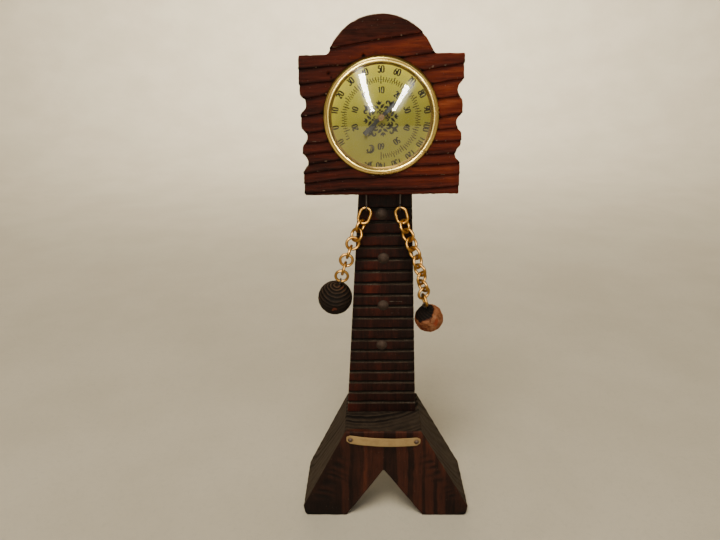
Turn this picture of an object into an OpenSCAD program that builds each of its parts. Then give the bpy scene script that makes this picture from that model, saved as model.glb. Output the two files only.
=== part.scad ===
// Table thermometer in the shape of a small longcase clock: a scalloped
// head board with a round dial, a tapered grooved column, a splayed base
// block and two hanging chains that each carry a wooden ball.
// Millimetres. +Z is up, -Y is the front, the origin is on the table
// under the middle of the object.

/* [Base block] */
// Height of the base block
base_h = 67.6; // [62:0.1:72]
// Half the width of the base block at its widest, just above the feet
base_half = 55.35; // [52:0.05:58]
// Height of the widest point above the table
base_kick = 7.2; // [5:0.1:10]
// Half the width between the outer edges of the two feet
foot_half = 53.9; // [50:0.1:55]
// Width of the block's top
base_top_w = 48.4; // [47.2:0.1:52]
// Sideways place of the top's middle
base_top_x = -1.4; // [-1.8:0.1:-1]
// Thickness of the block from front to back
base_t = 44.2; // [43:0.1:48]
// Half the width of the notch between the feet, at the table
notch_half = 25.3; // [20:0.1:28]
// Height of the notch
notch_h = 37.5; // [30:0.1:40]

/* [Column] */
// Thickness of the column from front to back
col_t = 20; // [18:0.5:21]
// Half the width of the column where it meets the block
col_half_low = 22.6; // [21:0.1:23]
// Half the width of the column where it meets the head board
col_half_high = 15.5; // [14:0.1:16]
// Height of the first saw groove
groove_top = 206.3; // [205:0.1:208]
// Distance from one saw groove to the next
groove_pitch = 7.72; // [7.6:0.01:7.74]
// Number of saw grooves
groove_n = 18; // [4:1:18]
// Width of a saw groove
groove_w = 1.6; // [1:0.1:2.2]
// Depth of a saw groove
groove_d = 1.5; // [0.8:0.1:2]
// Diameter of a decorative tack's domed head
tack_d = 7; // [6:0.1:8]

/* [Head board] */
// Width of the head board
head_w = 85.2; // [80:0.1:90]
// Height of the head board's lower edge above the table
head_z = 217; // [215:0.5:220]
// Height of the head board's shoulders above the table
shoulder_z = 289.3; // [288:0.1:292]
// Thickness of the head board
head_t = 20; // [19:0.5:22]
// Width of the arch on top
arch_w = 54.8; // [50:0.1:58]
// Height of the arch on top
arch_h = 18.7; // [16:0.1:22]
// Radius of a scallop in the head board's sides
scallop_r = 4.6; // [3.5:0.1:5.5]

/* [Thermometer] */
// Outer diameter of the brass bezel
bezel_d = 60; // [60:0.5:62]
// Diameter of the dial's sunk case
case_d = 54; // [53:0.5:54]
// Depth of the dial's sunk case
case_depth = 10.8; // [10.5:0.1:10.8]
// Height of the dial's middle above the table
dial_z = 258.5; // [257:0.1:260]
// Where the pointer rests, in degrees clockwise from the top
pointer_rest = 46.4; // [-120:0.1:180]

/* [Chains] */
// Thickness of the chain wire
wire = 1.6; // [1.5:0.05:1.6]
// Outer diameter of a chain ring
ring_d = 8.9; // [8.8:0.1:9]
// Height of the oval top link
oval_h = 10.8; // [10.6:0.1:11]
// Width of the oval top link
oval_w = 7.8; // [7.7:0.1:8]
// Thickness of the blackened eye wire
eye_wire = 0.9; // [0.8:0.05:0.9]
// Diameter of the left ball
ball_left_d = 21; // [19:0.5:21]
// Diameter of the right ball
ball_right_d = 18; // [16:0.5:18]

/* [Name plate] */
// Length of the bare name plate
plate_l = 47; // [40:0.5:47]
// Height of the bare name plate
plate_h = 6; // [5:0.1:8]
// How far the plate's middle bows out from the wood
plate_bow = 2.5; // [1:0.1:2.6]

/* [Hidden] */

$fn = 64;

// planes from front to back
base_front = -20.5;
base_back = base_front + base_t;
col_front = 1.2;
col_back = col_front + col_t;
head_front = -11.1;
head_back = head_front + head_t;
head_x = -2;
head_half = head_w / 2;
dial_x = -2.2;

// the column narrows evenly and leans a little to the right
col_x_low = -2.25;
col_x_high = 0.3;
col_top = 262;
function col_x(z) = col_x_low + (col_x_high - col_x_low) * (z - base_h) / (head_z - 4.7 - base_h);
function col_half(z) = col_half_low + (col_half_high - col_half_low) * (z - base_h) / (head_z - 4.7 - base_h);

tenon_w = 26;
tenon_t = 12;
tenon_h = 14;
tenon_x = col_x_low;
tenon_y = (col_front + col_back) / 2;

// a front outline drawn in x and z, made into a board between two depths
module board(front, back) {
  translate([0, back, 0]) rotate([90, 0, 0]) linear_extrude(back - front) children();
}

// ---------------------------------------------------------------- base
module base_outline() {
  polygon([
    [-foot_half, 0], [-notch_half - 0.6, 0], [-1.3, notch_h], [notch_half - 0.6, 0],
    [foot_half, 0], [base_half, base_kick],
    [base_top_x + base_top_w / 2, base_h], [base_top_x - base_top_w / 2, base_h],
    [-base_half, base_kick]]);
}

screw_z = 43;
module base_block() {
  color("#3a1c14") difference() {
    board(base_front, base_back) base_outline();
    // mortise for the column's tenon
    translate([tenon_x - tenon_w / 2 - 0.1, tenon_y - tenon_t / 2 - 0.1, base_h - tenon_h - 0.5])
      cube([tenon_w + 0.2, tenon_t + 0.2, tenon_h + 5]);
    // screw hole and counterbore from the top of the notch
    translate([tenon_x, tenon_y, 20]) cylinder(d = 4, h = 40);
    translate([tenon_x, tenon_y, 20]) cylinder(d = 8.4, h = screw_z - 20);
    // pin holes behind the name plate
    for (s = [-1, 1]) at_pin(s) translate([0, 0, -8.2]) cylinder(d = 1, h = 9);
  }
}

// wood screw with a flat head, pointing up
module screw(d, l, head, head_h) {
  translate([0, 0, -head_h / 4]) cylinder(d = d, h = l - d + head_h / 4);
  translate([0, 0, l - d]) cylinder(d1 = d, d2 = 0.3, h = d);
  difference() {
    translate([0, 0, -head_h]) cylinder(d = head, h = head_h);
    translate([-head / 2 - 1, -head / 16, -head_h - 1]) cube([head + 2, head / 8, 1 + head_h * 0.45]);
  }
}

module base_screw() {
  color("#55504a") translate([tenon_x, tenon_y, screw_z]) screw(3.8, 32, 7.6, 1.6);
}

// -------------------------------------------------------------- column
module column() {
  color("#2b1310") difference() {
    union() {
      board(col_front, col_back) polygon([
        [col_x(base_h) - col_half(base_h), base_h], [col_x(base_h) + col_half(base_h), base_h],
        [col_x(col_top) + col_half(col_top), col_top], [col_x(col_top) - col_half(col_top), col_top]]);
      // stub tenon
      translate([tenon_x - tenon_w / 2, tenon_y - tenon_t / 2, base_h - tenon_h])
        cube([tenon_w, tenon_t, tenon_h + 1]);
    }
    for (k = [0 : groove_n - 1])
      translate([-40, col_front - 1, groove_top - k * groove_pitch - groove_w / 2])
        cube([80, 1 + groove_d, groove_w]);
    // pilot hole for the screw from below
    translate([tenon_x, tenon_y, base_h - tenon_h - 1]) cylinder(d = 3.8, h = 23);
    for (p = tack_places) translate([p[0], col_front, p[1]]) rotate([90, 0, 0])
      translate([0, 0, -9]) cylinder(d = 1.4, h = 10);
    for (x = screw_x) translate([x, col_back, screw_row]) rotate([90, 0, 0]) {
      translate([0, 0, -1]) cylinder(d = 3.2, h = col_t + 2);
      translate([0, 0, -1]) cylinder(d = 6.4, h = 1 + 1.6);
    }
  }
}

tack_places = [[-1.9, 203.2], [-0.7, 176], [-0.9, 145.2], [-1.85, 117.8]];
tack_h = 1.5;

// domed head, pointing out along +z
module dome(d, h) {
  R = (d * d / 4 + h * h) / (2 * h);
  intersection() {
    translate([0, 0, h - R]) sphere(r = R, $fn = 96);
    cylinder(d = d + 1, h = h + 1);
  }
}

module column_tacks() {
  color("#4a352a") for (p = tack_places) translate([p[0], col_front, p[1]]) rotate([90, 0, 0]) {
    dome(tack_d, tack_h);
    translate([0, 0, -8.6]) cylinder(d = 1.4, h = 8.7);
  }
}

// ---------------------------------------------------------- head board
scallops_left = [265.4, 248.6, 235.1];
scallops_right = [271.4, 254.9, 238.7];
arch_R = (arch_w * arch_w / 4 + arch_h * arch_h) / (2 * arch_h);

module head_outline() {
  difference() {
    union() {
      translate([head_x - head_half, head_z]) square([head_w, shoulder_z - head_z]);
      intersection() {
        translate([dial_x, shoulder_z + arch_h - arch_R]) circle(r = arch_R, $fn = 128);
        translate([dial_x - 40, shoulder_z - 1]) square([80, arch_h + 2]);
      }
    }
    for (z = scallops_left) translate([head_x - head_half - scallop_r + 2.9, z]) circle(r = scallop_r);
    for (z = scallops_right) translate([head_x + head_half + scallop_r - 2.9, z]) circle(r = scallop_r);
  }
}

screw_row = 224.5;
screw_x = [-5.1, 5.9];
housing_play = 0.1;

module head_board() {
  color("#5a2418") difference() {
    board(head_front, head_back) head_outline();
    // round recess for the thermometer's case
    at_dial() translate([0, 0, -11]) cylinder(r = case_d / 2 + 0.3, h = 12, $fn = 128);
    // housing for the column's upper end
    board(col_front, head_back + 1) polygon([
      [col_x(head_z - 5) - col_half(head_z - 5) - housing_play, head_z - 5],
      [col_x(head_z - 5) + col_half(head_z - 5) + housing_play, head_z - 5],
      [col_x(col_top) + col_half(col_top) + housing_play, col_top + housing_play],
      [col_x(col_top) - col_half(col_top) - housing_play, col_top + housing_play]]);
    // holes for the two screws and the two chain eyes
    for (x = screw_x) translate([x, head_back, screw_row]) rotate([90, 0, 0])
      cylinder(d = 3, h = head_t - 7);
    for (c = [0, 1]) translate([eye_at(c)[0], eye_at(c)[1], head_z - 1]) cylinder(d = eye_wire, h = 9.2);
  }
}

module head_screws() {
  color("#55504a") for (x = screw_x) translate([x, col_back - 1.6, screw_row]) rotate([90, 0, 0])
    screw(3, 22.6, 6, 1.6);
}

// --------------------------------------------------------- thermometer
// everything here is turned round the dial's axis; +z points out of the
// dial and z = 0 is the front of the head board
module at_dial() {
  translate([dial_x, head_front, dial_z]) rotate([90, 0, 0]) children();
}

case_r = case_d / 2;
bezel_r = bezel_d / 2;
arbor_r = 0.6;
dial_r = 28.4;
crystal_R = 65.5;
crystal_t = 1;
crystal_z = 3.35 - sqrt(pow(crystal_R - crystal_t, 2) - 27 * 27);

module thermometer_case() {
  color("#b9a060") at_dial() rotate_extrude($fn = 128) polygon([
    [0, -case_depth], [case_r, -case_depth], [case_r, 0], [29.3, 0], [29.3, 0.5],
    [case_r - 0.5, 0.5], [case_r - 0.5, -case_depth + 0.5], [0, -case_depth + 0.5]]);
}

module dial_plate() {
  color("#b9bf5a") at_dial() difference() {
    translate([0, 0, 0.5]) cylinder(r = dial_r, h = 0.4, $fn = 128);
    cylinder(r = 1.3, h = 3, center = true);
  }
}

module inner_ring() {
  color("#c9a24a") at_dial() rotate_extrude($fn = 128)
    polygon([[26.4, 0.9], [27.1, 0.9], [28.3, 3.1], [28.3, 3.35], [27.7, 3.35]]);
}

module crystal() {
  color("#dfe6da", 0.35) at_dial() intersection() {
    difference() {
      translate([0, 0, crystal_z]) sphere(r = crystal_R, $fn = 256);
      translate([0, 0, crystal_z]) sphere(r = crystal_R - crystal_t, $fn = 256);
    }
    translate([0, 0, 3.35]) cylinder(r = 28.3, h = 10, $fn = 128);
  }
}

module bezel_ring() {
  color("#d8b45c") at_dial() rotate_extrude($fn = 128) polygon([
    [bezel_r - 0.6, 0], [bezel_r, 0], [bezel_r, 1.6], [bezel_r - 0.15, 2.6],
    [bezel_r - 0.55, 3.6], [bezel_r - 1.15, 4.4], [bezel_r - 1.9, 4.9],
    [bezel_r - 2.5, 5], [27.4, 4.85], [27.4, 4.4], [28.4, 4.05],
    [28.5, 3.9], [28.5, 0.6], [bezel_r - 0.6, 0.6]]);
}

module arbor_bridge() {
  color("#b08d4a") at_dial() difference() {
    union() {
      translate([-22.8, -3.5, -1.6]) cube([45.6, 7, 0.8]);
      for (s = [0, 1]) mirror([s, 0, 0]) {
        translate([22, -3.5, -case_depth + 0.5]) cube([0.8, 7, case_depth - 1.5]);
        translate([19, -3.5, -case_depth + 0.5]) cube([3.5, 7, 0.8]);
      }
    }
    cylinder(r = arbor_r + 0.03, h = 10, center = true);
  }
}

module pivot_bush() {
  color("#c9a24a") at_dial() difference() {
    translate([0, 0, -case_depth + 0.5]) cylinder(r = 2.5, h = 1.5);
    cylinder(r = arbor_r + 0.03, h = 40, center = true);
  }
}

coil_r = 2.4;
coil_pitch = 2.6;
coil_half_turns = 10;
coil_end = coil_r + coil_half_turns * coil_pitch / 2;

// bimetal strip wound as a flat spiral of half circles
module bimetal_coil() {
  color("#a59a86") at_dial() for (k = [0 : coil_half_turns - 1])
    translate([k % 2 == 0 ? 0 : coil_pitch / 2, 0, -6])
      rotate([0, 0, k % 2 == 0 ? 0 : 180])
        rotate_extrude(angle = 180) translate([coil_r + k * coil_pitch / 2, 0]) square([0.5, 3]);
}

module coil_anchor() {
  color("#c9a24a") at_dial() translate([coil_end + 0.5 + 0.05 + 1.2, 0, -case_depth + 0.5]) {
    cylinder(r = 1.2, h = 7.6);
    cylinder(r = 1.7, h = 1);
  }
}

module arbor() {
  color("#c98a5a") at_dial() {
    translate([0, 0, -9.8]) cylinder(r = arbor_r, h = 13.1);
    translate([0, 0, -6.4]) cylinder(r = 2.3, h = 3.8);
  }
}

module pointer_hand() {
  color("#3a4250") at_dial() rotate([0, 0, -pointer_rest]) translate([0, 0, 1.9]) difference() {
    linear_extrude(0.3) polygon([
      [-1.2, -12.3], [1.2, -12.3], [0.85, -1.8], [1.3, 0], [0.95, 1.6], [1.05, 7.2], [0.7, 8.8],
      [0.34, 10.2], [0.16, 23.3], [-0.16, 23.3],
      [-0.34, 10.2], [-0.7, 8.8], [-1.05, 7.2], [-0.95, 1.6], [-1.3, 0], [-0.85, -1.8]]);
    cylinder(r = arbor_r, h = 3, center = true);
  }
}

module pointer_hub() {
  color("#c0764a") at_dial() difference() {
    translate([0, 0, 2.2]) cylinder(r = 1.6, h = 0.9);
    cylinder(r = arbor_r, h = 9, center = true);
  }
}

// ---------------------------------------------------------- name plate
plate_x = -1.3;
plate_z = 61.6;
plate_tilt = 2.2;
pin_at = 20.9;
plate_R = (plate_l * plate_l / 4 + plate_bow * plate_bow) / (2 * plate_bow);
plate_t = 0.5;

module at_plate() {
  translate([plate_x, base_front, plate_z]) rotate([0, plate_tilt, 0]) children();
}

// depth of the plate's back above the wood at a distance from its middle
function plate_gap(x) = sqrt(plate_R * plate_R - x * x) - (plate_R - plate_bow);

module at_pin(s) {
  at_plate() translate([s * pin_at, 0, 0]) rotate([90, 0, 0]) children();
}

module name_plate() {
  color("#cfae62") difference() {
    at_plate() intersection() {
      translate([0, plate_R - plate_bow, -plate_h / 2]) difference() {
        cylinder(r = plate_R + plate_t, h = plate_h, $fn = 256);
        translate([0, 0, -1]) cylinder(r = plate_R, h = plate_h + 2, $fn = 256);
      }
      // long side straight, ends clipped and blunt
      translate([0, 0, 0]) rotate([90, 0, 0]) linear_extrude(10) polygon([
        [-plate_l / 2, -1.5], [-plate_l / 2 + 2.2, -plate_h / 2], [plate_l / 2 - 2.2, -plate_h / 2],
        [plate_l / 2, -1.5], [plate_l / 2, 1.5], [plate_l / 2 - 2.2, plate_h / 2],
        [-plate_l / 2 + 2.2, plate_h / 2], [-plate_l / 2, 1.5]]);
    }
    for (s = [-1, 1]) at_pin(s) translate([0, 0, -1]) cylinder(d = 1, h = 6);
  }
}

module plate_pins() {
  color("#6b4a2c") for (s = [-1, 1]) at_pin(s) {
    translate([0, 0, plate_gap(pin_at) + plate_t + 0.35]) dome(3, 0.8);
    translate([0, 0, -8]) cylinder(d = 1, h = 8.45 + plate_gap(pin_at) + plate_t);
  }
}

// -------------------------------------------------------------- chains
// chain 0 hangs on the left and chain 1 on the right. Each link's long
// axis leans outwards by `lean` and backwards by `back`, and the link is
// turned about that axis by `turn`. The last entry belongs to the ball.
lean = [[21, 24, 25, 24, 20, 17, 16, 16, 16],
        [16, 19, 21, 21, 20, 16, 13, 11, 9, 7, 10, 14]];
back = [[-3, -6, -6, -3, 1, 5, 9, 12, 15],
        [-5, -10, -11, -9, -5, 1, 7, 12, 14, 15, 16, 18]];
turn = [[0, 58, -42, 14, 84, 0, 84, 0, 90],
        [-12, 50, -42, 40, -45, 52, -42, 50, -50, 32, -75, 8]];
ball_d = [ball_left_d, ball_right_d];
ball_drop = [2.5, 2.4];
play = 0.15;
eye_r = 1.6;

function eye_at(c) = [c == 0 ? -10.4 : 8.6, -4.1, 208.4];
function side(c) = c == 0 ? 1 : -1;
function down(c, i) = [-side(c) * sin(lean[c][i]), sin(back[c][i]) * cos(lean[c][i]),
                       -cos(back[c][i]) * cos(lean[c][i])];
// half the height of link i along its wire's centre line
function half(i) = i == 0 ? (oval_h - wire) / 2 : (ring_d - wire) / 2;
// how far link i's upper wire sits above the wire that it hangs on
function over(i) = i == 0 ? (eye_wire + wire) / 2 + play : wire + play;
// the wire centre at the foot of link i; i = -1 is the foot of the eye
function foot_of(c, i) = i < 0 ? eye_at(c) - [0, 0, eye_r]
                               : foot_of(c, i - 1) + (2 * half(i) - over(i)) * down(c, i);
function middle_of(c, i) = foot_of(c, i) - half(i) * down(c, i);
function last(c) = len(lean[c]) - 1;
function ball_at(c) = foot_of(c, last(c) - 1) + (ball_drop[c] + ball_d[c] / 2) * down(c, last(c));

// a ring of wire standing in the x-z plane
module wire_ring(r, w) {
  rotate([90, 0, 0]) rotate_extrude($fn = 48) translate([r, 0]) circle(d = w, $fn = 24);
}

module oval_link() {
  r = (oval_w - wire) / 2;
  l = (oval_h - oval_w) / 2;
  for (m = [0, 1]) mirror([0, 0, m]) translate([0, 0, l]) rotate([90, 0, 0])
    rotate_extrude(angle = 180, $fn = 48) translate([r, 0]) circle(d = wire, $fn = 24);
  for (s = [-1, 1]) translate([s * r, 0, -l]) cylinder(d = wire, h = 2 * l, $fn = 24);
}

module at_link(c, i, p) {
  translate(p) rotate([back[c][i], 0, 0]) rotate([0, side(c) * lean[c][i], 0])
    rotate([0, 0, turn[c][i]]) children();
}

module link(c, i) {
  color("#d9a441") at_link(c, i, middle_of(c, i))
    if (i == 0) oval_link(); else wire_ring((ring_d - wire) / 2, wire);
}

// screw eye under the head board, with its loop seen edge on
module eye(c) {
  color("#2a221c") {
    translate(eye_at(c)) rotate([0, 0, 90]) wire_ring(eye_r, eye_wire);
    translate([eye_at(c)[0], eye_at(c)[1], eye_at(c)[2] + eye_r])
      cylinder(d = eye_wire, h = head_z + 8 - eye_at(c)[2] - eye_r, $fn = 24);
  }
}

module eye_left() eye(0);
module eye_right() eye(1);

// eye in a ball's top; its loop stands just clear of the wood
module ball_eye(c) {
  up = ball_d[c] / 2 + ball_drop[c] + over(0) - eye_r;
  color("#2a221c") at_link(c, last(c), ball_at(c)) {
    translate([0, 0, up]) wire_ring(eye_r, eye_wire);
    translate([0, 0, ball_d[c] / 2 - 6]) cylinder(d = eye_wire, h = up - eye_r - ball_d[c] / 2 + 6, $fn = 24);
  }
}

module ball_eye_left() ball_eye(0);
module ball_eye_right() ball_eye(1);

module ball(c) {
  at_link(c, last(c), ball_at(c)) difference() {
    sphere(d = ball_d[c], $fn = 96);
    translate([0, 0, ball_d[c] / 2 - 6]) cylinder(d = eye_wire, h = 9, $fn = 24);
    children();
  }
}

module ball_left() {
  color("#241812") ball(0);
}

// the right ball has lost chips of its stained skin
module ball_right() {
  color("#a5562e") ball(1)
    for (a = [[70, -60], [105, -20], [120, -95], [75, 40], [150, -40]])
      rotate([0, 0, a[1]]) rotate([0, a[0], 0]) translate([-9, -9, ball_right_d / 2 - 0.55]) cube([18, 18, 4]);
}

module link_left_1() link(0, 0);
module link_left_2() link(0, 1);
module link_left_3() link(0, 2);
module link_left_4() link(0, 3);
module link_left_5() link(0, 4);
module link_left_6() link(0, 5);
module link_left_7() link(0, 6);
module link_left_8() link(0, 7);
module link_right_1() link(1, 0);
module link_right_2() link(1, 1);
module link_right_3() link(1, 2);
module link_right_4() link(1, 3);
module link_right_5() link(1, 4);
module link_right_6() link(1, 5);
module link_right_7() link(1, 6);
module link_right_8() link(1, 7);
module link_right_9() link(1, 8);
module link_right_10() link(1, 9);
module link_right_11() link(1, 10);

base_block();
column();
head_board();
thermometer_case();
dial_plate();
inner_ring();
crystal();
bezel_ring();
arbor_bridge();
pivot_bush();
bimetal_coil();
coil_anchor();
arbor();
pointer_hand();
pointer_hub();
column_tacks();
name_plate();
plate_pins();
head_screws();
base_screw();
eye_left();
eye_right();
link_left_1();
link_left_2();
link_left_3();
link_left_4();
link_left_5();
link_left_6();
link_left_7();
link_left_8();
link_right_1();
link_right_2();
link_right_3();
link_right_4();
link_right_5();
link_right_6();
link_right_7();
link_right_8();
link_right_9();
link_right_10();
link_right_11();
ball_eye_left();
ball_left();
ball_eye_right();
ball_right();
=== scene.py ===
import math

import bpy
import numpy as np
from mathutils import Matrix, Vector
from mathutils.geometry import delaunay_2d_cdt
from mathutils.kdtree import KDTree


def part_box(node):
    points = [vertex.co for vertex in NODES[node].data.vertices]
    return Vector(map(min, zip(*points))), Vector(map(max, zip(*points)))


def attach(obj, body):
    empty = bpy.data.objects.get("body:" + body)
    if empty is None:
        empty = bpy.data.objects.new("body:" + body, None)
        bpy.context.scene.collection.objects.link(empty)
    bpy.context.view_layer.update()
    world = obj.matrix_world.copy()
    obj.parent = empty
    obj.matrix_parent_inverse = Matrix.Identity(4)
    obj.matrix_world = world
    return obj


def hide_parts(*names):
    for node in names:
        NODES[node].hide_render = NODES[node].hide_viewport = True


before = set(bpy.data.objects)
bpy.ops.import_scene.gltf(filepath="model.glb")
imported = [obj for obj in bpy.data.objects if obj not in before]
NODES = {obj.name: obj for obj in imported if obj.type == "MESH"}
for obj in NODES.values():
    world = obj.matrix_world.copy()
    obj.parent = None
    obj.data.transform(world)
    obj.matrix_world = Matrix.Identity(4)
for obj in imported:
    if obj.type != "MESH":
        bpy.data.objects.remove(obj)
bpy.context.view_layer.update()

MM = 0.001

# ------------------------------------------------------------------ camera
# same frame as the part: +Z up, -Y the front
def make_camera():
    yaw, pitch, roll = math.radians(-1.40), math.radians(20.61), math.radians(-0.98)
    right = Vector((math.cos(yaw), -math.sin(yaw), 0))
    ahead = Vector((math.sin(yaw), math.cos(yaw), 0))
    z = Vector((0, 0, 1))
    fwd = ahead * math.cos(pitch) - z * math.sin(pitch)
    up = z * math.cos(pitch) + ahead * math.sin(pitch)
    cx = right * math.cos(roll) + up * math.sin(roll)
    cy = -right * math.sin(roll) + up * math.cos(roll)
    cz = -fwd
    data = bpy.data.cameras.new("camera")
    data.sensor_fit = "HORIZONTAL"
    data.sensor_width = 36
    data.lens = 27.05
    data.clip_start, data.clip_end = 0.01, 50
    cam = bpy.data.objects.new("camera", data)
    bpy.context.scene.collection.objects.link(cam)
    m = Matrix(((cx[0], cy[0], cz[0], -0.00737), (cx[1], cy[1], cz[1], -0.30388), (cx[2], cy[2], cz[2], 0.28340), (0, 0, 0, 1)))
    cam.matrix_world = m
    bpy.context.scene.camera = cam


make_camera()


# ------------------------------------------------------------------- noise
def _hash(x, y, z, seed):
    n = (x * 73856093) ^ (y * 19349663) ^ (z * 83492791) ^ (seed * 2654435761)
    n &= 0xFFFFFFFF
    n = (((n >> 16) ^ n) * 0x45D9F3B) & 0xFFFFFFFF
    n = (((n >> 16) ^ n) * 0x45D9F3B) & 0xFFFFFFFF
    n = (n >> 16) ^ n
    return n.astype(float) / 0xFFFFFFFF * 2 - 1


def noise(x, y, z, seed=0):
    """Smooth value noise from -1 to 1."""
    x, y, z = np.broadcast_arrays(*(np.asarray(v, float) for v in (x, y, z)))
    ix, iy, iz = (np.floor(v).astype(np.int64) for v in (x, y, z))
    fx, fy, fz = x - ix, y - iy, z - iz
    u, v, w = (f * f * f * (f * (f * 6 - 15) + 10) for f in (fx, fy, fz))
    out = 0
    for dx in (0, 1):
        for dy in (0, 1):
            for dz in (0, 1):
                k = (u if dx else 1 - u) * (v if dy else 1 - v) * (w if dz else 1 - w)
                out = out + k * _hash(ix + dx, iy + dy, iz + dz, seed)
    return out


def fbm(x, y, z, seed=0, octaves=4, gain=0.5):
    total, a, norm = 0, 1.0, 0
    for o in range(octaves):
        f = 2.03**o
        total = total + a * noise(x * f, y * f, z * f, seed + 17 * o)
        norm += a
        a *= gain
    return total / norm


def step(a, b, x):
    t = np.clip((x - a) / (b - a), 0, 1)
    return t * t * (3 - 2 * t)


# ---------------------------------------------------------------- outlines
def resample(P, pitch, closed=True):
    P = np.asarray(P, float)
    Q = np.vstack([P, P[:1]]) if closed else P
    s = np.r_[0, np.cumsum(np.linalg.norm(np.diff(Q, axis=0), axis=1))]
    n = max(3, int(round(s[-1] / pitch)))
    t = np.linspace(0, s[-1], n + 1)
    if closed:
        t = t[:-1]
    return np.stack([np.interp(t, s, Q[:, k]) for k in range(Q.shape[1])], 1)


def smooth_loop(P, sigma):
    r = int(sigma * 4) + 1
    w = np.exp(-0.5 * (np.arange(-r, r + 1) / sigma) ** 2)
    w /= w.sum()
    return sum(w[k + r] * np.roll(P, -k, axis=0) for k in range(-r, r + 1))


def loop_normals(P):
    t = np.roll(P, -1, axis=0) - np.roll(P, 1, axis=0)
    t /= np.linalg.norm(t, axis=1)[:, None] + 1e-12
    return np.stack([t[:, 1], -t[:, 0]], 1)


def arc_points(cx, cz, r, a0, a1, n):
    a = np.radians(np.linspace(a0, a1, n))
    return [(cx + r * math.cos(t), cz + r * math.sin(t)) for t in a]


# ------------------------------------------------------------------- mesh
def make_piece(name, V, F, material, body, attrs=None, replaces=(), smooth=True):
    """A mesh from points in millimetres, riding on a body."""
    V = np.asarray(V, float) * MM
    me = bpy.data.meshes.new(name)
    if isinstance(F, np.ndarray):
        F = F.tolist()
    me.from_pydata(V.tolist(), [], F)
    me.validate()
    for k, a in (attrs or {}).items():
        at = me.attributes.new(k, "FLOAT", "POINT")
        at.data.foreach_set("value", np.clip(np.asarray(a, np.float32), 0, 1))
    me.polygons.foreach_set("use_smooth", [smooth] * len(me.polygons))
    me.update()
    ob = bpy.data.objects.new(name, me)
    bpy.context.scene.collection.objects.link(ob)
    me.materials.append(material)
    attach(ob, body)
    if replaces:
        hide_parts(*replaces)
    return ob


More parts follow.
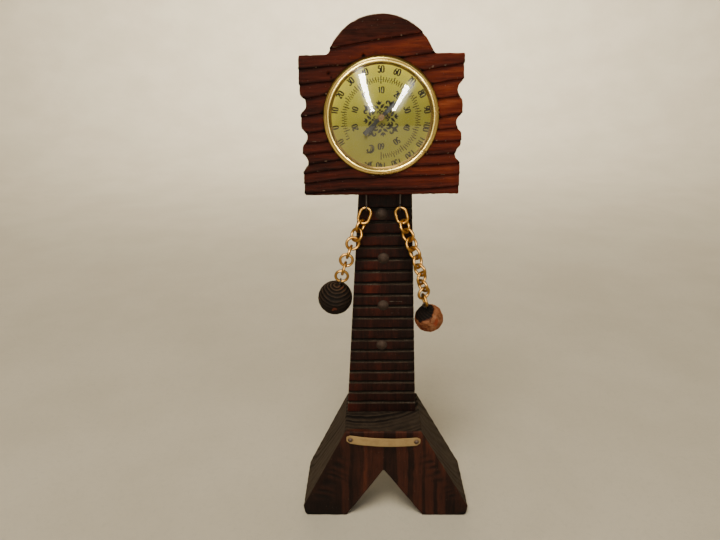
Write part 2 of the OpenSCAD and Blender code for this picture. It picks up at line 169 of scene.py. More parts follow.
def board(loop, yf, yb, pitch, r, front, back, wall, creases_f=(), creases_b=(), back_pitch=None, wall_pitch=0.8):
    """A board cut to a front outline (x, z), carved on its faces. front and back give how deep a face lies below
    its plane, wall how far the edge lies inside the outline. Returns points, faces, distance to the outline and
    face code (0 front, 1 back, 2 wall)."""
    B = resample(loop, pitch)
    N = loop_normals(B)
    n = len(B)
    fine = resample(loop, 0.1)
    kd = KDTree(len(fine))
    for i, p in enumerate(fine):
        kd.insert((p[0], p[1], 0), i)
    kd.balance()
    NF = loop_normals(fine)
    kb = KDTree(n)
    for i, p in enumerate(B):
        kb.insert((p[0], p[1], 0), i)
    kb.balance()

    def inside_distance(P):
        d = np.empty(len(P))
        for i, p in enumerate(P):
            _, j, dist = kd.find((p[0], p[1], 0))
            d[i] = dist if (p - fine[j]) @ NF[j] < 0 else -dist
        return d

    def sheet(pit, creases):
        lo, hi = B.min(0), B.max(0)
        xs = np.arange(lo[0], hi[0], pit)
        zs = np.arange(lo[1], hi[1], pit * 0.866)
        gx, gz = np.meshgrid(xs, zs)
        gx = gx + (np.arange(len(zs)) % 2)[:, None] * pit * 0.5
        G = np.stack([gx.ravel(), gz.ravel()], 1)
        rings = [B - N * q * r for q in (0.12, 0.32, 0.62)]
        rings = [q[inside_distance(q) > 0.8 * k * r] for q, k in zip(rings, (0.12, 0.32, 0.62))]
        d = inside_distance(G)
        G = G[d > max(0.8 * r, 0.45 * pit)]
        P = [*B.tolist()]
        E = [(i, (i + 1) % n) for i in range(n)]
        near = []
        for pts, closed in creases:
            a = len(P)
            P += [list(p) for p in pts]
            m = len(pts)
            E += [(a + i, a + i + 1) for i in range(m - 1)] + ([(a + m - 1, a)] if closed else [])
            near += [list(p) for p in pts]
        if near:
            kc = KDTree(len(near))
            for i, p in enumerate(near):
                kc.insert((p[0], p[1], 0), i)
            kc.balance()
            G = np.array([g for g in G if kc.find((g[0], g[1], 0))[2] > 0.4 * pit])
        P += [list(q) for ring in rings for q in ring]
        P += G.tolist()
        out = delaunay_2d_cdt([Vector(p) for p in P], E, [list(range(n))], 1, 1e-5)
        W = np.array([(v[0], v[1]) for v in out[0]])
        where = {}
        for j, olds in enumerate(out[3]):
            for o in olds:
                if o < n:
                    where[o] = j
        T = [tuple(f) for f in out[2]]
        keep = []
        for t in T:
            a, b, c = (W[k] for k in t)
            area = (b[0] - a[0]) * (c[1] - a[1]) - (b[1] - a[1]) * (c[0] - a[0])
            if abs(area) > 1e-9:
                keep.append(t if area > 0 else (t[0], t[2], t[1]))
        d = inside_distance(W)
        d = np.maximum(d, 0)
        rim = np.array([where[i] for i in range(n)])
        d[rim] = 0
        J = np.array([kb.find((p[0], p[1], 0))[1] for p in W])
        return W, keep, d, rim, J

    Wf, Tf, df, rf, Jf = sheet(pitch, creases_f)
    Wb, Tb, db, rb, Jb = sheet(back_pitch or pitch, creases_b)

    def drop(d):
        return np.where(d < r, r - np.sqrt(np.maximum(r * r - (r - np.minimum(d, r)) ** 2, 0)), 0)

    yF = yf + drop(df) + front(Wf[:, 0], Wf[:, 1], df)
    yB = yb - drop(db) - back(Wb[:, 0], Wb[:, 1], db)
    sf = wall(B[:, 0], yF[rf], B[:, 1], N)
    sb = wall(B[:, 0], yB[rb], B[:, 1], N)
    Pf = Wf - N[Jf] * (sf[Jf] * np.exp(-((df / 1.4) ** 2)))[:, None]
    Pb = Wb - N[Jb] * (sb[Jb] * np.exp(-((db / 1.4) ** 2)))[:, None]
    V = [np.stack([Pf[:, 0], yF, Pf[:, 1]], 1), np.stack([Pb[:, 0], yB, Pb[:, 1]], 1)]
    F = list(Tf)
    off = len(Wf)
    F += [(a + off, c + off, b + off) for a, b, c in Tb]
    code = [np.zeros(len(Wf)), np.ones(len(Wb))]
    dist = [df, db]
    rows = max(3, int((yb - yf) / wall_pitch))
    y0, y1 = yF[rf], yB[rb]
    prev = rf.copy()
    base = off + len(Wb)
    for k in range(1, rows):
        t = k / rows
        t = t + 0.5 * (0.5 - 0.5 * math.cos(math.pi * t) - t)
        y = y0 + (y1 - y0) * t
        s = wall(B[:, 0], y, B[:, 1], N)
        p = B - N * s[:, None]
        V.append(np.stack([p[:, 0], y, p[:, 1]], 1))
        code.append(np.full(n, 2.0))
        dist.append(np.minimum(y - y0, y1 - y))
        cur = np.arange(n) + base
        base += n
        nx = np.roll(np.arange(n), -1)
        F += [(prev[i], cur[i], cur[nx[i]], prev[nx[i]]) for i in range(n)]
        prev = cur
    cur = rb + off
    nx = np.roll(np.arange(n), -1)
    F += [(prev[i], cur[i], cur[nx[i]], prev[nx[i]]) for i in range(n)]
    F = [tuple(int(q) for q in f) for f in F]
    return np.vstack(V), F, np.concatenate(dist), np.concatenate(code)


def lathe(profile, segments, wobble=None, closed=True):
    """A closed (r, h) profile turned round the local z axis. wobble(r, h, angle) -> (dr, dh)."""
    P = np.asarray(profile, float)
    m = len(P)
    a = np.arange(segments) * 2 * math.pi / segments
    A, I = np.meshgrid(a, np.arange(m), indexing="ij")
    R, H = P[I, 0], P[I, 1]
    if wobble:
        dr, dh = wobble(R, H, A)
        R, H = R + dr, H + dh
    V = np.stack([R * np.sin(A), R * np.cos(A), H], -1).reshape(-1, 3)
    F = []
    for i in range(segments):
        i2 = (i + 1) % segments
        for j in range(m if closed else m - 1):
            j2 = (j + 1) % m
            F.append((i * m + j, i2 * m + j, i2 * m + j2, i * m + j2))
    return V, F


def cap_lathe(profile, segments, wobble=None):
    """A profile from the axis, outwards and back to the axis: a solid of revolution with a point at each pole."""
    P = np.asarray(profile, float)
    inner = P[1:-1]
    V, F = lathe(inner, segments, wobble, closed=False)
    m = len(inner)
    top, bottom = len(V), len(V) + 1
    V = np.vstack([V, [[0, 0, P[0, 1]], [0, 0, P[-1, 1]]]])
    for i in range(segments):
        i2 = (i + 1) % segments
        F.append((top, i2 * m, i * m))
        F.append((bottom, i * m + m - 1, i2 * m + m - 1))
    return V, F


def fix_winding(V, F):
    """Turns all faces round if the closed mesh is inside out."""
    V = np.asarray(V, float)
    vol = 0.0
    for f in F:
        a = V[f[0]]
        for k in range(1, len(f) - 1):
            vol += a @ np.cross(V[f[k]], V[f[k + 1]])
    return F if vol > 0 else [tuple(reversed(f)) for f in F]


def merge(parts):
    """Joins (points, faces) lists."""
    V, F, off = [], [], 0
    for v, f in parts:
        V.append(np.asarray(v, float))
        F += [tuple(q + off for q in g) for g in f]
        off += len(v)
    return np.vstack(V), F


# --------------------------------------------------------------- materials
class Mat:
    """A small helper for building node materials."""

    def __init__(self, name):
        self.mat = bpy.data.materials.new(name)
        self.mat.use_nodes = True
        self.nt = self.mat.node_tree
        self.nt.nodes.clear()
        self.out = self.nt.nodes.new("ShaderNodeOutputMaterial")
        self.bsdf = self.nt.nodes.new("ShaderNodeBsdfPrincipled")
        self.nt.links.new(self.bsdf.outputs[0], self.out.inputs[0])
        self.co = self.nt.nodes.new("ShaderNodeTexCoord").outputs["Object"]

    def put(self, socket, v):
        if isinstance(v, bpy.types.NodeSocket):
            self.nt.links.new(v, socket)
        elif isinstance(v, (tuple, list)) and len(v) == 3 and socket.type == "RGBA":
            socket.default_value = (*v, 1)
        else:
            socket.default_value = v

    def set(self, **kw):
        for k, v in kw.items():
            self.put(self.bsdf.inputs[k.replace("_", " ")], v)

    def attr(self, name):
        n = self.nt.nodes.new("ShaderNodeAttribute")
        n.attribute_name = name
        return n.outputs["Fac"]

    def math(self, op, a, b=0.0, c=None, clamp=False):
        n = self.nt.nodes.new("ShaderNodeMath")
        n.operation, n.use_clamp = op, clamp
        self.put(n.inputs[0], a)
        self.put(n.inputs[1], b)
        if c is not None:
            self.put(n.inputs[2], c)
        return n.outputs[0]

    def map(self, scale=(1, 1, 1), rot=(0, 0, 0), loc=(0, 0, 0), vec=None):
        n = self.nt.nodes.new("ShaderNodeMapping")
        self.put(n.inputs["Vector"], vec or self.co)
        n.inputs["Scale"].default_value = scale
        n.inputs["Rotation"].default_value = rot
        n.inputs["Location"].default_value = loc
        return n.outputs[0]

    def noise(self, vec, scale=1.0, detail=4.0, rough=0.55, distortion=0.0):
        n = self.nt.nodes.new("ShaderNodeTexNoise")
        self.put(n.inputs["Vector"], vec)
        n.inputs["Scale"].default_value = scale
        n.inputs["Detail"].default_value = detail
        n.inputs["Roughness"].default_value = rough
        n.inputs["Distortion"].default_value = distortion
        return n.outputs["Fac"]

    def voronoi(self, vec, scale=1.0, feature="F1", out="Distance"):
        n = self.nt.nodes.new("ShaderNodeTexVoronoi")
        n.feature = feature
        self.put(n.inputs["Vector"], vec)
        n.inputs["Scale"].default_value = scale
        return n.outputs[out]

    def range(self, v, a, b, c=0.0, d=1.0):
        n = self.nt.nodes.new("ShaderNodeMapRange")
        n.interpolation_type = "SMOOTHSTEP"
        self.put(n.inputs["Value"], v)
        for k, x in zip(("From Min", "From Max", "To Min", "To Max"), (a, b, c, d)):
            n.inputs[k].default_value = x
        return n.outputs[0]

    def ramp(self, v, stops):
        n = self.nt.nodes.new("ShaderNodeValToRGB")
        el = n.color_ramp.elements
        while len(el) < len(stops):
            el.new(0.5)
        for e, (p, c) in zip(el, stops):
            e.position, e.color = p, (*c, 1)
        self.put(n.inputs[0], v)
        return n.outputs[0]

    def mix(self, f, a, b, blend="MIX"):
        n = self.nt.nodes.new("ShaderNodeMix")
        n.data_type, n.blend_type = "RGBA", blend
        self.put(n.inputs[0], f)
        self.put(n.inputs[6], a)
        self.put(n.inputs[7], b)
        return n.outputs[2]

    def bump(self, height, strength=0.5, distance=0.0001, normal=None):
        n = self.nt.nodes.new("ShaderNodeBump")
        n.inputs["Strength"].default_value = strength
        n.inputs["Distance"].default_value = distance
        self.put(n.inputs["Height"], height)
        if normal is not None:
            self.put(n.inputs["Normal"], normal)
        return n.outputs[0]


def wood(name, grain, tilt, ramp, grey_ramp, char_col, wear_col, rough=(0.60, 0.84), cross=850.0, along=55.0, speck=0.4, gloss=0.055, streak=0.42):
    """Stained wood. Attributes drive the large pattern: tone, char, grey and wear. Noise stretched along the grain
    adds fibres, pores and specks."""
    m = Mat(name)
    s = {"x": (along, cross, cross), "y": (cross, along, cross), "z": (cross, cross, along)}[grain]
    fib = m.noise(m.map(s, (0, tilt, 0)), 1.0, 6.0, 0.62, 0.15)
    s2 = tuple(v * 0.28 for v in s)
    broad = m.noise(m.map(s2, (0, tilt, 0), (3, 7, 1)), 1.0, 3.0, 0.5, 0.3)
    s3 = tuple(v * 2.4 for v in s)
    hair = m.noise(m.map(s3, (0, tilt, 0), (11, 5, 2)), 1.0, 3.0, 0.6)
    cloud = m.noise(m.map((90, 90, 90)), 1.0, 4.0, 0.55)
    tone = m.math("ADD", m.attr("tone"), m.math("MULTIPLY", m.math("SUBTRACT", fib, 0.5), streak))
    tone = m.math("ADD", tone, m.math("MULTIPLY", m.math("SUBTRACT", broad, 0.5), 0.30))
    tone = m.math("ADD", tone, m.math("MULTIPLY", m.math("SUBTRACT", cloud, 0.5), 0.22))
    col = m.ramp(tone, ramp)
    g = m.math("ADD", m.math("MULTIPLY", fib, 0.6), m.math("MULTIPLY", broad, 0.4))
    grey = m.ramp(g, grey_ramp)
    gf = m.range(m.math("ADD", m.attr("grey"), m.math("MULTIPLY", m.math("SUBTRACT", cloud, 0.5), 0.35)), 0.25, 0.75)
    col = m.mix(gf, col, grey)
    ch = m.math("ADD", m.attr("char"), m.math("MULTIPLY", m.math("SUBTRACT", fib, 0.5), 0.5))
    ch = m.range(ch, 0.2, 0.85)
    col = m.mix(ch, col, char_col)
    # dark pores
    pore = m.range(hair, 0.30, 0.42, 1.0, 0.0)
    col = m.mix(m.math("MULTIPLY", pore, 0.55), col, char_col)
    wn = m.noise(m.map((420, 420, 420), loc=(2, 2, 2)), 1.0, 5.0, 0.65)
    wr = m.range(m.math("ADD", m.attr("wear"), m.math("MULTIPLY", m.math("SUBTRACT", wn, 0.5), 0.9)), 0.55, 0.85)
    col = m.mix(m.math("MULTIPLY", wr, 0.75), col, wear_col)
    sp = m.range(m.noise(m.map((1500, 1500, 1500), loc=(9, 1, 4)), 1.0, 2.0, 0.5), 0.715, 0.79, 0.0, speck)
    col = m.mix(sp, col, (0.34, 0.27, 0.20))
    ro = m.math("ADD", rough[0], m.math("MULTIPLY", m.math("ADD", ch, m.math("MULTIPLY", hair, 0.5)), (rough[1] - rough[0]) * 0.8))
    ro = m.math("ADD", ro, m.math("MULTIPLY", gf, 0.16), clamp=True)
    h = m.math("ADD", m.math("MULTIPLY", fib, 0.6), m.math("MULTIPLY", hair, 0.4))
    nb = m.bump(h, 0.55, 0.00022)
    nb = m.bump(m.noise(m.map((700, 700, 700)), 1.0, 3.0, 0.5), 0.15, 0.0001, nb)
    m.set(Base_Color=col, Roughness=ro, Normal=nb)
    m.bsdf.inputs["Specular IOR Level"].default_value = gloss
    return m.mat


RED_RAMP = [(0.0, (0.012, 0.0046, 0.0033)), (0.22, (0.034, 0.0085, 0.0052)), (0.45, (0.084, 0.0138, 0.0074)), (0.68, (0.155, 0.0232, 0.0093)), (0.9, (0.26, 0.050, 0.017)), (1.0, (0.34, 0.088, 0.029))]
BROWN_RAMP = [(0.0, (0.012, 0.0050, 0.0038)), (0.22, (0.033, 0.0115, 0.0072)), (0.45, (0.070, 0.0195, 0.0110)), (0.68, (0.118, 0.030, 0.0145)), (0.9, (0.19, 0.056, 0.024)), (1.0, (0.26, 0.088, 0.038))]
GREY_RAMP = [(0.25, (0.021, 0.0145, 0.0102)), (0.5, (0.054, 0.038, 0.0270)), (0.75, (0.096, 0.070, 0.051))]
MAT_HEAD = wood("wood_head", "x", math.radians(5.5), RED_RAMP, GREY_RAMP, (0.0075, 0.0045, 0.0040), (0.215, 0.145, 0.100), cross=800, along=60, gloss=0.025, speck=0.5, streak=0.70)
MAT_COLUMN = wood("wood_column", "z", 0.0, RED_RAMP, GREY_RAMP, (0.0085, 0.0062, 0.0056), (0.155, 0.125, 0.100), cross=780, along=120, gloss=0.045)
MAT_BASE = wood("wood_base", "z", 0.0, BROWN_RAMP, GREY_RAMP, (0.0085, 0.0060, 0.0052), (0.22, 0.15, 0.09), cross=700, along=60)
MAT_BALL_DARK = wood("wood_ball_dark", "z", math.radians(-25), [(0.0, (0.006, 0.004, 0.003)), (0.5, (0.029, 0.0175, 0.0115)), (0.8, (0.080, 0.046, 0.026)), (1.0, (0.24, 0.05, 0.02))],
                     GREY_RAMP, (0.0062, 0.0044, 0.0036), (0.21, 0.055, 0.028), rough=(0.65, 0.85), cross=900, along=300, speck=0.2)
MAT_BALL_CHIP = wood("wood_ball_chipped", "z", math.radians(20), [(0.0, (0.0065, 0.0042, 0.0034)), (0.3, (0.030, 0.013, 0.008)), (0.55, (0.17, 0.048, 0.022)), (0.8, (0.33, 0.125, 0.055)), (1.0, (0.42, 0.19, 0.095))],
                     GREY_RAMP, (0.0060, 0.0040, 0.0034), (0.36, 0.05, 0.02), rough=(0.60, 0.85), cross=700, along=200, speck=0.25)


def metal(name, base, dark, rough, scratch=0.1, pattern=None, tarnish=0.35, metallic=1.0, bump=0.25, blotch=160.0, level=0.5, edge=None):
    m = Mat(name)
    big = m.noise(m.map((blotch, blotch, blotch)), 1.0, 5.0, 0.6)
    fine = m.noise(m.map((2600, 2600, 2600)), 1.0, 3.0, 0.6)
    line = m.noise(m.map((3500, 260, 900), (0.3, 0.5, 0.8)), 1.0, 3.0, 0.6)
    f = m.range(big, 0.38, 0.72, 0.0, tarnish)
    if pattern:
        f = m.math("MAXIMUM", f, m.math("MULTIPLY", m.attr(pattern), 0.9))
    col = m.mix(f, base, dark)
    ro = m.math("ADD", rough, m.math("MULTIPLY", m.math("SUBTRACT", fine, 0.5), scratch * 1.4))
    ro = m.math("ADD", ro, m.math("MULTIPLY", f, 0.25), clamp=True)
    h = m.math("ADD", m.math("MULTIPLY", fine, 0.5), m.math("MULTIPLY", line, 0.5))
    m.set(Base_Color=col, Roughness=ro, Normal=m.bump(h, bump, 0.00004))
    m.bsdf.inputs["Metallic"].default_value = metallic
    m.bsdf.inputs["Specular IOR Level"].default_value = level
    if edge:
        m.bsdf.inputs["Specular Tint"].default_value = (*edge, 1.0)
    return m.mat


MAT_BEZEL = metal("brass_bezel", (0.70, 0.545, 0.165), (0.11, 0.055, 0.018), 0.23, 0.05, "dark", 0.05, bump=0.05, edge=(0.55, 0.36, 0.12))
# the inner ring's gilt is darkened all round as painted shade, standing in for the shade under the bezel lip
MAT_RING_PAINTED_SHADE = metal("gilt_inner_ring_painted_shade", (0.17, 0.11, 0.030), (0.07, 0.04, 0.010), 0.30, 0.12, None, 0.30)
MAT_CASE = metal("brass_case", (0.62, 0.50, 0.28), (0.25, 0.17, 0.08), 0.42, 0.15)
MAT_WORKS = metal("brass_works", (0.70, 0.55, 0.28), (0.30, 0.20, 0.09), 0.34, 0.15)
MAT_BIMETAL = metal("bimetal_strip", (0.52, 0.47, 0.40), (0.26, 0.20, 0.15), 0.30, 0.2)
MAT_CHAIN = metal("gilt_chain", (0.40, 0.212, 0.052), (0.035, 0.014, 0.005), 0.32, 0.14, "dark", 0.40, bump=0.3, blotch=420.0, edge=(0.30, 0.15, 0.05))
MAT_HUB = metal("copper_hub", (0.105, 0.060, 0.017), (0.06, 0.028, 0.012), 0.50, 0.12, metallic=0.25, level=0.1)
MAT_ARBOR = metal("arbor_steel", (0.055, 0.036, 0.022), (0.020, 0.013, 0.008), 0.50, 0.12, metallic=0.2, level=0.1)
MAT_POINTER = metal("blued_steel", (0.058, 0.062, 0.070), (0.026, 0.026, 0.028), 0.55, 0.18, None, 0.6, metallic=0.0, level=0.05)
MAT_SCREW = metal("screw_steel", (0.36, 0.34, 0.31), (0.12, 0.10, 0.08), 0.42, 0.2, None, 0.5)
MAT_EYE = metal("blackened_wire", (0.060, 0.045, 0.036), (0.022, 0.015, 0.011), 0.46, 0.2, None, 0.7, metallic=0.7)
MAT_TACK = metal("browned_tack", (0.052, 0.030, 0.021), (0.022, 0.013, 0.009), 0.66, 0.2, "dark", 0.5, metallic=0.2, blotch=500.0, level=0.12)
MAT_PIN = metal("browned_pin", (0.060, 0.030, 0.018), (0.015, 0.009, 0.006), 0.52, 0.2, "dark", 0.55, metallic=0.4, blotch=700.0, level=0.3)
MAT_PLATE = metal("lacquered_plate", (0.42, 0.285, 0.115), (0.20, 0.105, 0.035), 0.42, 0.14, "dark", 0.38, metallic=0.35, bump=0.2, blotch=240.0)


def dial_material():
    m = Mat("dial_face")
    big = m.noise(m.map((60, 60, 60)), 1.0, 4.0, 0.5)
    fine = m.noise(m.map((5200, 5200, 5200)), 1.0, 2.0, 0.5)
    brush = m.noise(m.map((3200, 300, 120)), 1.0, 3.0, 0.6)
    col = m.mix(m.range(big, 0.3, 0.7), (0.345, 0.335, 0.046), (0.395, 0.385, 0.058))
    # painted sheen: the tone attribute lightens the plate towards the top, standing in for the sheen of the ceiling
    # lights
    col = m.mix(m.math("MULTIPLY", m.attr("tone"), 0.95), col, (0.97, 0.95, 0.12))
    col = m.mix(m.math("MULTIPLY", fine, 0.05), col, (0.50, 0.46, 0.10))
    # painted shade from the dark attribute round the rim of the plate
    col = m.mix(m.math("MULTIPLY", m.attr("dark"), 0.40), col, (0.22, 0.15, 0.012))
    m.set(Base_Color=col, Roughness=m.math("ADD", 0.50, m.math("MULTIPLY", brush, 0.12)), Normal=m.bump(m.math("ADD", fine, brush), 0.12, 0.00003))
    m.bsdf.inputs["Metallic"].default_value = 0.0
    m.bsdf.inputs["Specular IOR Level"].default_value = 0.02
    return m.mat


def ink_material():
    m = Mat("dial_ink")
    n = m.noise(m.map((2400, 2400, 2400)), 1.0, 3.0, 0.6)
    col = m.mix(m.range(n, 0.35, 0.75), (0.010, 0.009, 0.004), (0.026, 0.023, 0.009))
    m.set(Base_Color=col, Roughness=m.math("ADD", 0.50, m.math("MULTIPLY", n, 0.15)))
    m.bsdf.inputs["Specular IOR Level"].default_value = 0.05
    return m.mat


def crystal_material():
    m = Mat("clear_crystal")
    dust = m.noise(m.map((900, 900, 900)), 1.0, 5.0, 0.6)
    m.set(Base_Color=(0.985, 0.99, 0.975), Roughness=m.range(dust, 0.55, 0.8, 0.0, 0.02))
    m.bsdf.inputs["Specular IOR Level"].default_value = 0.0
    m.bsdf.inputs["Coat Weight"].default_value = 0.26
    m.bsdf.inputs["Coat IOR"].default_value = 1.5
    m.bsdf.inputs["Coat Roughness"].default_value = 0.085
    m.bsdf.inputs["Transmission Weight"].default_value = 1.0
    m.bsdf.inputs["IOR"].default_value = 1.49
    lp = m.nt.nodes.new("ShaderNodeLightPath")
    tr = m.nt.nodes.new("ShaderNodeBsdfTransparent")
    mx = m.nt.nodes.new("ShaderNodeMixShader")
    m.nt.links.new(lp.outputs["Is Shadow Ray"], mx.inputs[0])
    m.nt.links.new(m.bsdf.outputs[0], mx.inputs[1])
    m.nt.links.new(tr.outputs[0], mx.inputs[2])
    # light that the dial scatters leaves straight through as well
    my = m.nt.nodes.new("ShaderNodeMixShader")
    m.nt.links.new(lp.outputs["Is Diffuse Ray"], my.inputs[0])
    m.nt.links.new(mx.outputs[0], my.inputs[1])
    m.nt.links.new(tr.outputs[0], my.inputs[2])
    m.nt.links.new(my.outputs[0], m.out.inputs[0])
    return m.mat


MAT_DIAL = dial_material()
MAT_INK = ink_material()
MAT_CRYSTAL = crystal_material()


# -------------------------------------------------------------- head board
HEAD_Y0, HEAD_Y1 = -11.1, 8.9
HEAD_L, HEAD_R = -44.6, 40.6
HEAD_Z, SHOULDER = 217.0, 289.3
DIAL_X, DIAL_Z = -2.2, 258.5

# where the brushed-out soft grain runs across the front, left end to right end
GRAIN = [
    [(-46, 289.9), (-29.2, 291.9), (-11.9, 294.6), (8.4, 297.1), (19.8, 299.0), (42, 302.5)],
    [(-46, 282.3), (-31.2, 283.5), (-20.3, 284.3), (17.4, 288.4), (24.6, 289.2), (42, 291.5)],
    [(-46, 274.8), (-26.7, 276.4), (18.6, 281.0), (33.0, 283.0), (42, 284.6)],
    [(-46, 267.4), (-29.6, 270.0), (24.0, 274.3), (33.3, 275.9), (42, 276.8)],
    [(-46, 258.5), (-32.6, 260.8), (27.9, 267.0), (42, 268.6)],
    [(-46, 250.0), (-32.4, 251.7), (28.2, 257.9), (42, 259.3)],
    [(-46, 244.9), (-30.5, 246.2), (27.9, 251.7), (42, 252.5)],
    [(-46, 239.0), (-27.4, 241.0), (26.0, 245.1), (42, 245.7)],
    [(-46, 233.8), (-24.8, 236.1), (22.4, 238.5), (42, 239.4)],
    [(-46, 229.1), (-21.7, 231.5), (18.7, 232.6), (31.3, 233.2), (42, 234.1)],
    [(-46, 223.5), (-21.8, 226.0), (18.9, 227.0), (29.9, 227.7), (42, 228.1)],
    [(-46, 218.0), (-22.0, 219.9), (19.0, 220.2), (42, 221.5)],
]
DEEP = [1.05, 0.75, 1.0, 0.95, 1.0, 0.85, 0.8, 0.85, 0.75, 0.85, 0.95, 0.8]


def grain_lines(x, y, z):
    """Signed height above each grain valley, shaped (lines, points)."""
    wob = 0.30 * noise(x / 9, z / 5, y / 20, 5) + 0.12 * noise(x / 2.6, z / 2.2, y / 8, 6)
    tilt = 0.10 * (y - HEAD_Y0)
    out = []
    for line in GRAIN:
        px, pz = zip(*line)
        out.append(z - (np.interp(x, px, pz) + wob + tilt))
    return np.array(out)


def head_relief(x, y, z):
    """Depth of the brushed grain below the surface, how near a point is to a crack (where a dark line is painted as the
    shadow under each proud hard line), how much it lies on a proud hard line, and how far down its band. Hard lines
    stand proud just above each crack; the soft grain below drops away under them and rises slowly to the next."""
    S = grain_lines(x, y, z)
    above = np.where(S < 0, -S, 12.0)
    below = np.where(S > 0, S, 12.0)
    iu, ib = above.argmin(0), below.argmin(0)
    up, dn = above.min(0), below.min(0)
    deep = np.take(DEEP, iu) * (1 + 0.25 * noise(x / 7, iu * 3.3, 0, 21))
    w = 0.95 + 0.35 * noise(x / 9, ib * 3.3, y / 9, 23) + 0.15 * noise(x / 2.5, ib * 2.1, 0, 24)
    w = np.minimum(w, 0.34 * (up + dn))
    crest = step(-0.04, 0.24, dn) * (1 - step(w, w + 0.9, dn))
    crest = np.where(dn < 11.9, crest, 0)
    low = deep * (0.36 + 0.64 * np.exp(-np.abs(up / 2.3) ** 1.2))
    low = np.where(up < 11.9, low, 0.25)
    # fine secondary ridges in the soft grain
    ripple = 0.10 * noise(x / 26, (up + 0.25 * noise(x / 8, up / 3, iu, 25)) / 0.62, iu * 1.7, 26) * step(0.4, 1.4, up)
    depth = (low + np.where(up < 11.9, ripple, 0)) * (1 - crest) + 0.03 * crest
    near = np.exp(-((up / 0.34) ** 2)) * (up < 11.9) + np.exp(-((dn / 0.15) ** 2)) * (dn < 11.9)
    pos = np.clip(up / np.maximum(up + dn, 0.1), 0, 1)
    return depth, np.clip(near, 0, 1), crest, pos, S


def head_front(x, z, d):
    depth, near, crest, pos, S = head_relief(x, np.full_like(x, HEAD_Y0), z)
    above = step(0.6, 3.0, S[0])  # the flat worn zone in the arch
    fine = 0.07 * fbm(x / 14, z / 0.9, 0, 31, 3) + 0.05 * fbm(x / 3, z / 1.6, 0, 32, 2)
    fine = fine + above * (0.14 * fbm(x / 11, z / 3.0, 0, 33, 3))
    depth = depth * (1 - above) + 0.06 * above
    # small scratches across the arch
    scr = 0
    for (x0, z0, x1, z1, w, dp) in ((-14.0, 302.5, -8.5, 297.0, 0.35, 0.28), (-19.5, 298.0, -14.0, 293.6, 0.3, 0.22), (12.0, 303.2, 16.0, 298.6, 0.35, 0.22), (2.0, 305.6, 7.5, 302.4, 0.3, 0.18), (-10.0, 304.0, -7.6, 300.3, 0.3, 0.25)):
        t = np.clip(((x - x0) * (x1 - x0) + (z - z0) * (z1 - z0)) / ((x1 - x0) ** 2 + (z1 - z0) ** 2), 0, 1)
        dd = np.hypot(x - x0 - t * (x1 - x0), z - z0 - t * (z1 - z0))
        scr = scr + 0.45 * dp * np.exp(-((dd / w) ** 2))
    pits = 0
    for (px, pz, pr, pd) in ((-11.0, 288.6, 0.7, 0.9), (-29.0, 280.2, 0.8, 1.0), (-27.6, 278.4, 0.4, 0.3)):
        pits = pits + pd * np.exp(-((np.hypot(x - px, (z - pz) * 0.9) / pr) ** 4))
    r = np.hypot(x - DIAL_X, z - DIAL_Z)
    under = step(29.9, 28.9, r)  # flat seat under the bezel
    h = 0.08 + depth + np.maximum(fine + 0.12, 0) + scr + pits
    h = np.maximum(h, 0) * (1 - under) + 0.0 * under
    return np.where(r < 27.25, 11.0, h)


def head_back(x, z, d):
    h = 0.10 + 0.08 * fbm(x / 16, z / 1.6, 4, 41, 3) + 0.05 * noise(x / 1.2, z / 1.2, 2, 42)
    cx = -2.25 + 2.55 * (z - 67.6) / 144.7
    hw = 22.6 - 7.1 * (z - 67.6) / 144.7 + 0.15
    inside = (np.abs(x - cx) < hw) & (z < 262.15)
    return np.where(inside, HEAD_Y1 - 1.2 + 0.15, np.maximum(h, 0))


def head_wall(x, y, z, N):
    depth, near, crest, pos, S = head_relief(x, y, z)
    side = np.abs(N[:, 0])
    rough = 0.12 + 0.10 * noise(x / 6.5, y / 14, z / 6.5, 50) + 0.12 * noise(x / 1.9, y / 3.0, z / 1.9, 51) + 0.05 * noise(x / 0.7, y / 2, z / 0.7, 52)
    nick = 0.40 * np.minimum(depth, 1.0) * step(0.35, 0.9, side)
    along = 0.10 * np.abs(noise(x / 6, y / 1.1, z / 6, 53)) * (1 - side)
    return np.maximum(rough + nick + along, 0)


def head_loop():
    P = [(HEAD_L, HEAD_Z), (HEAD_R, HEAD_Z)]
    for zc in (238.7, 254.9, 271.4):
        P += arc_points(HEAD_R + 1.7, zc, 4.6, 248.3, 111.7, 14)
    P += [(HEAD_R, SHOULDER)]
    P += arc_points(DIAL_X, 278.576, 29.424, 21.37, 158.63, 60)
    P += [(HEAD_L, SHOULDER)]
    for zc in (265.4, 248.6, 235.1):
        P += arc_points(HEAD_L - 1.7, zc, 4.6, 68.3, -68.3, 14)
    P = resample(P, 0.2)
    return smooth_loop(P, 4.0)


def circle_pts(r, n, cx=DIAL_X, cz=DIAL_Z):
    a = np.linspace(0, 2 * math.pi, n, endpoint=False)
    return [(cx + r * math.cos(t), cz + r * math.sin(t)) for t in a]


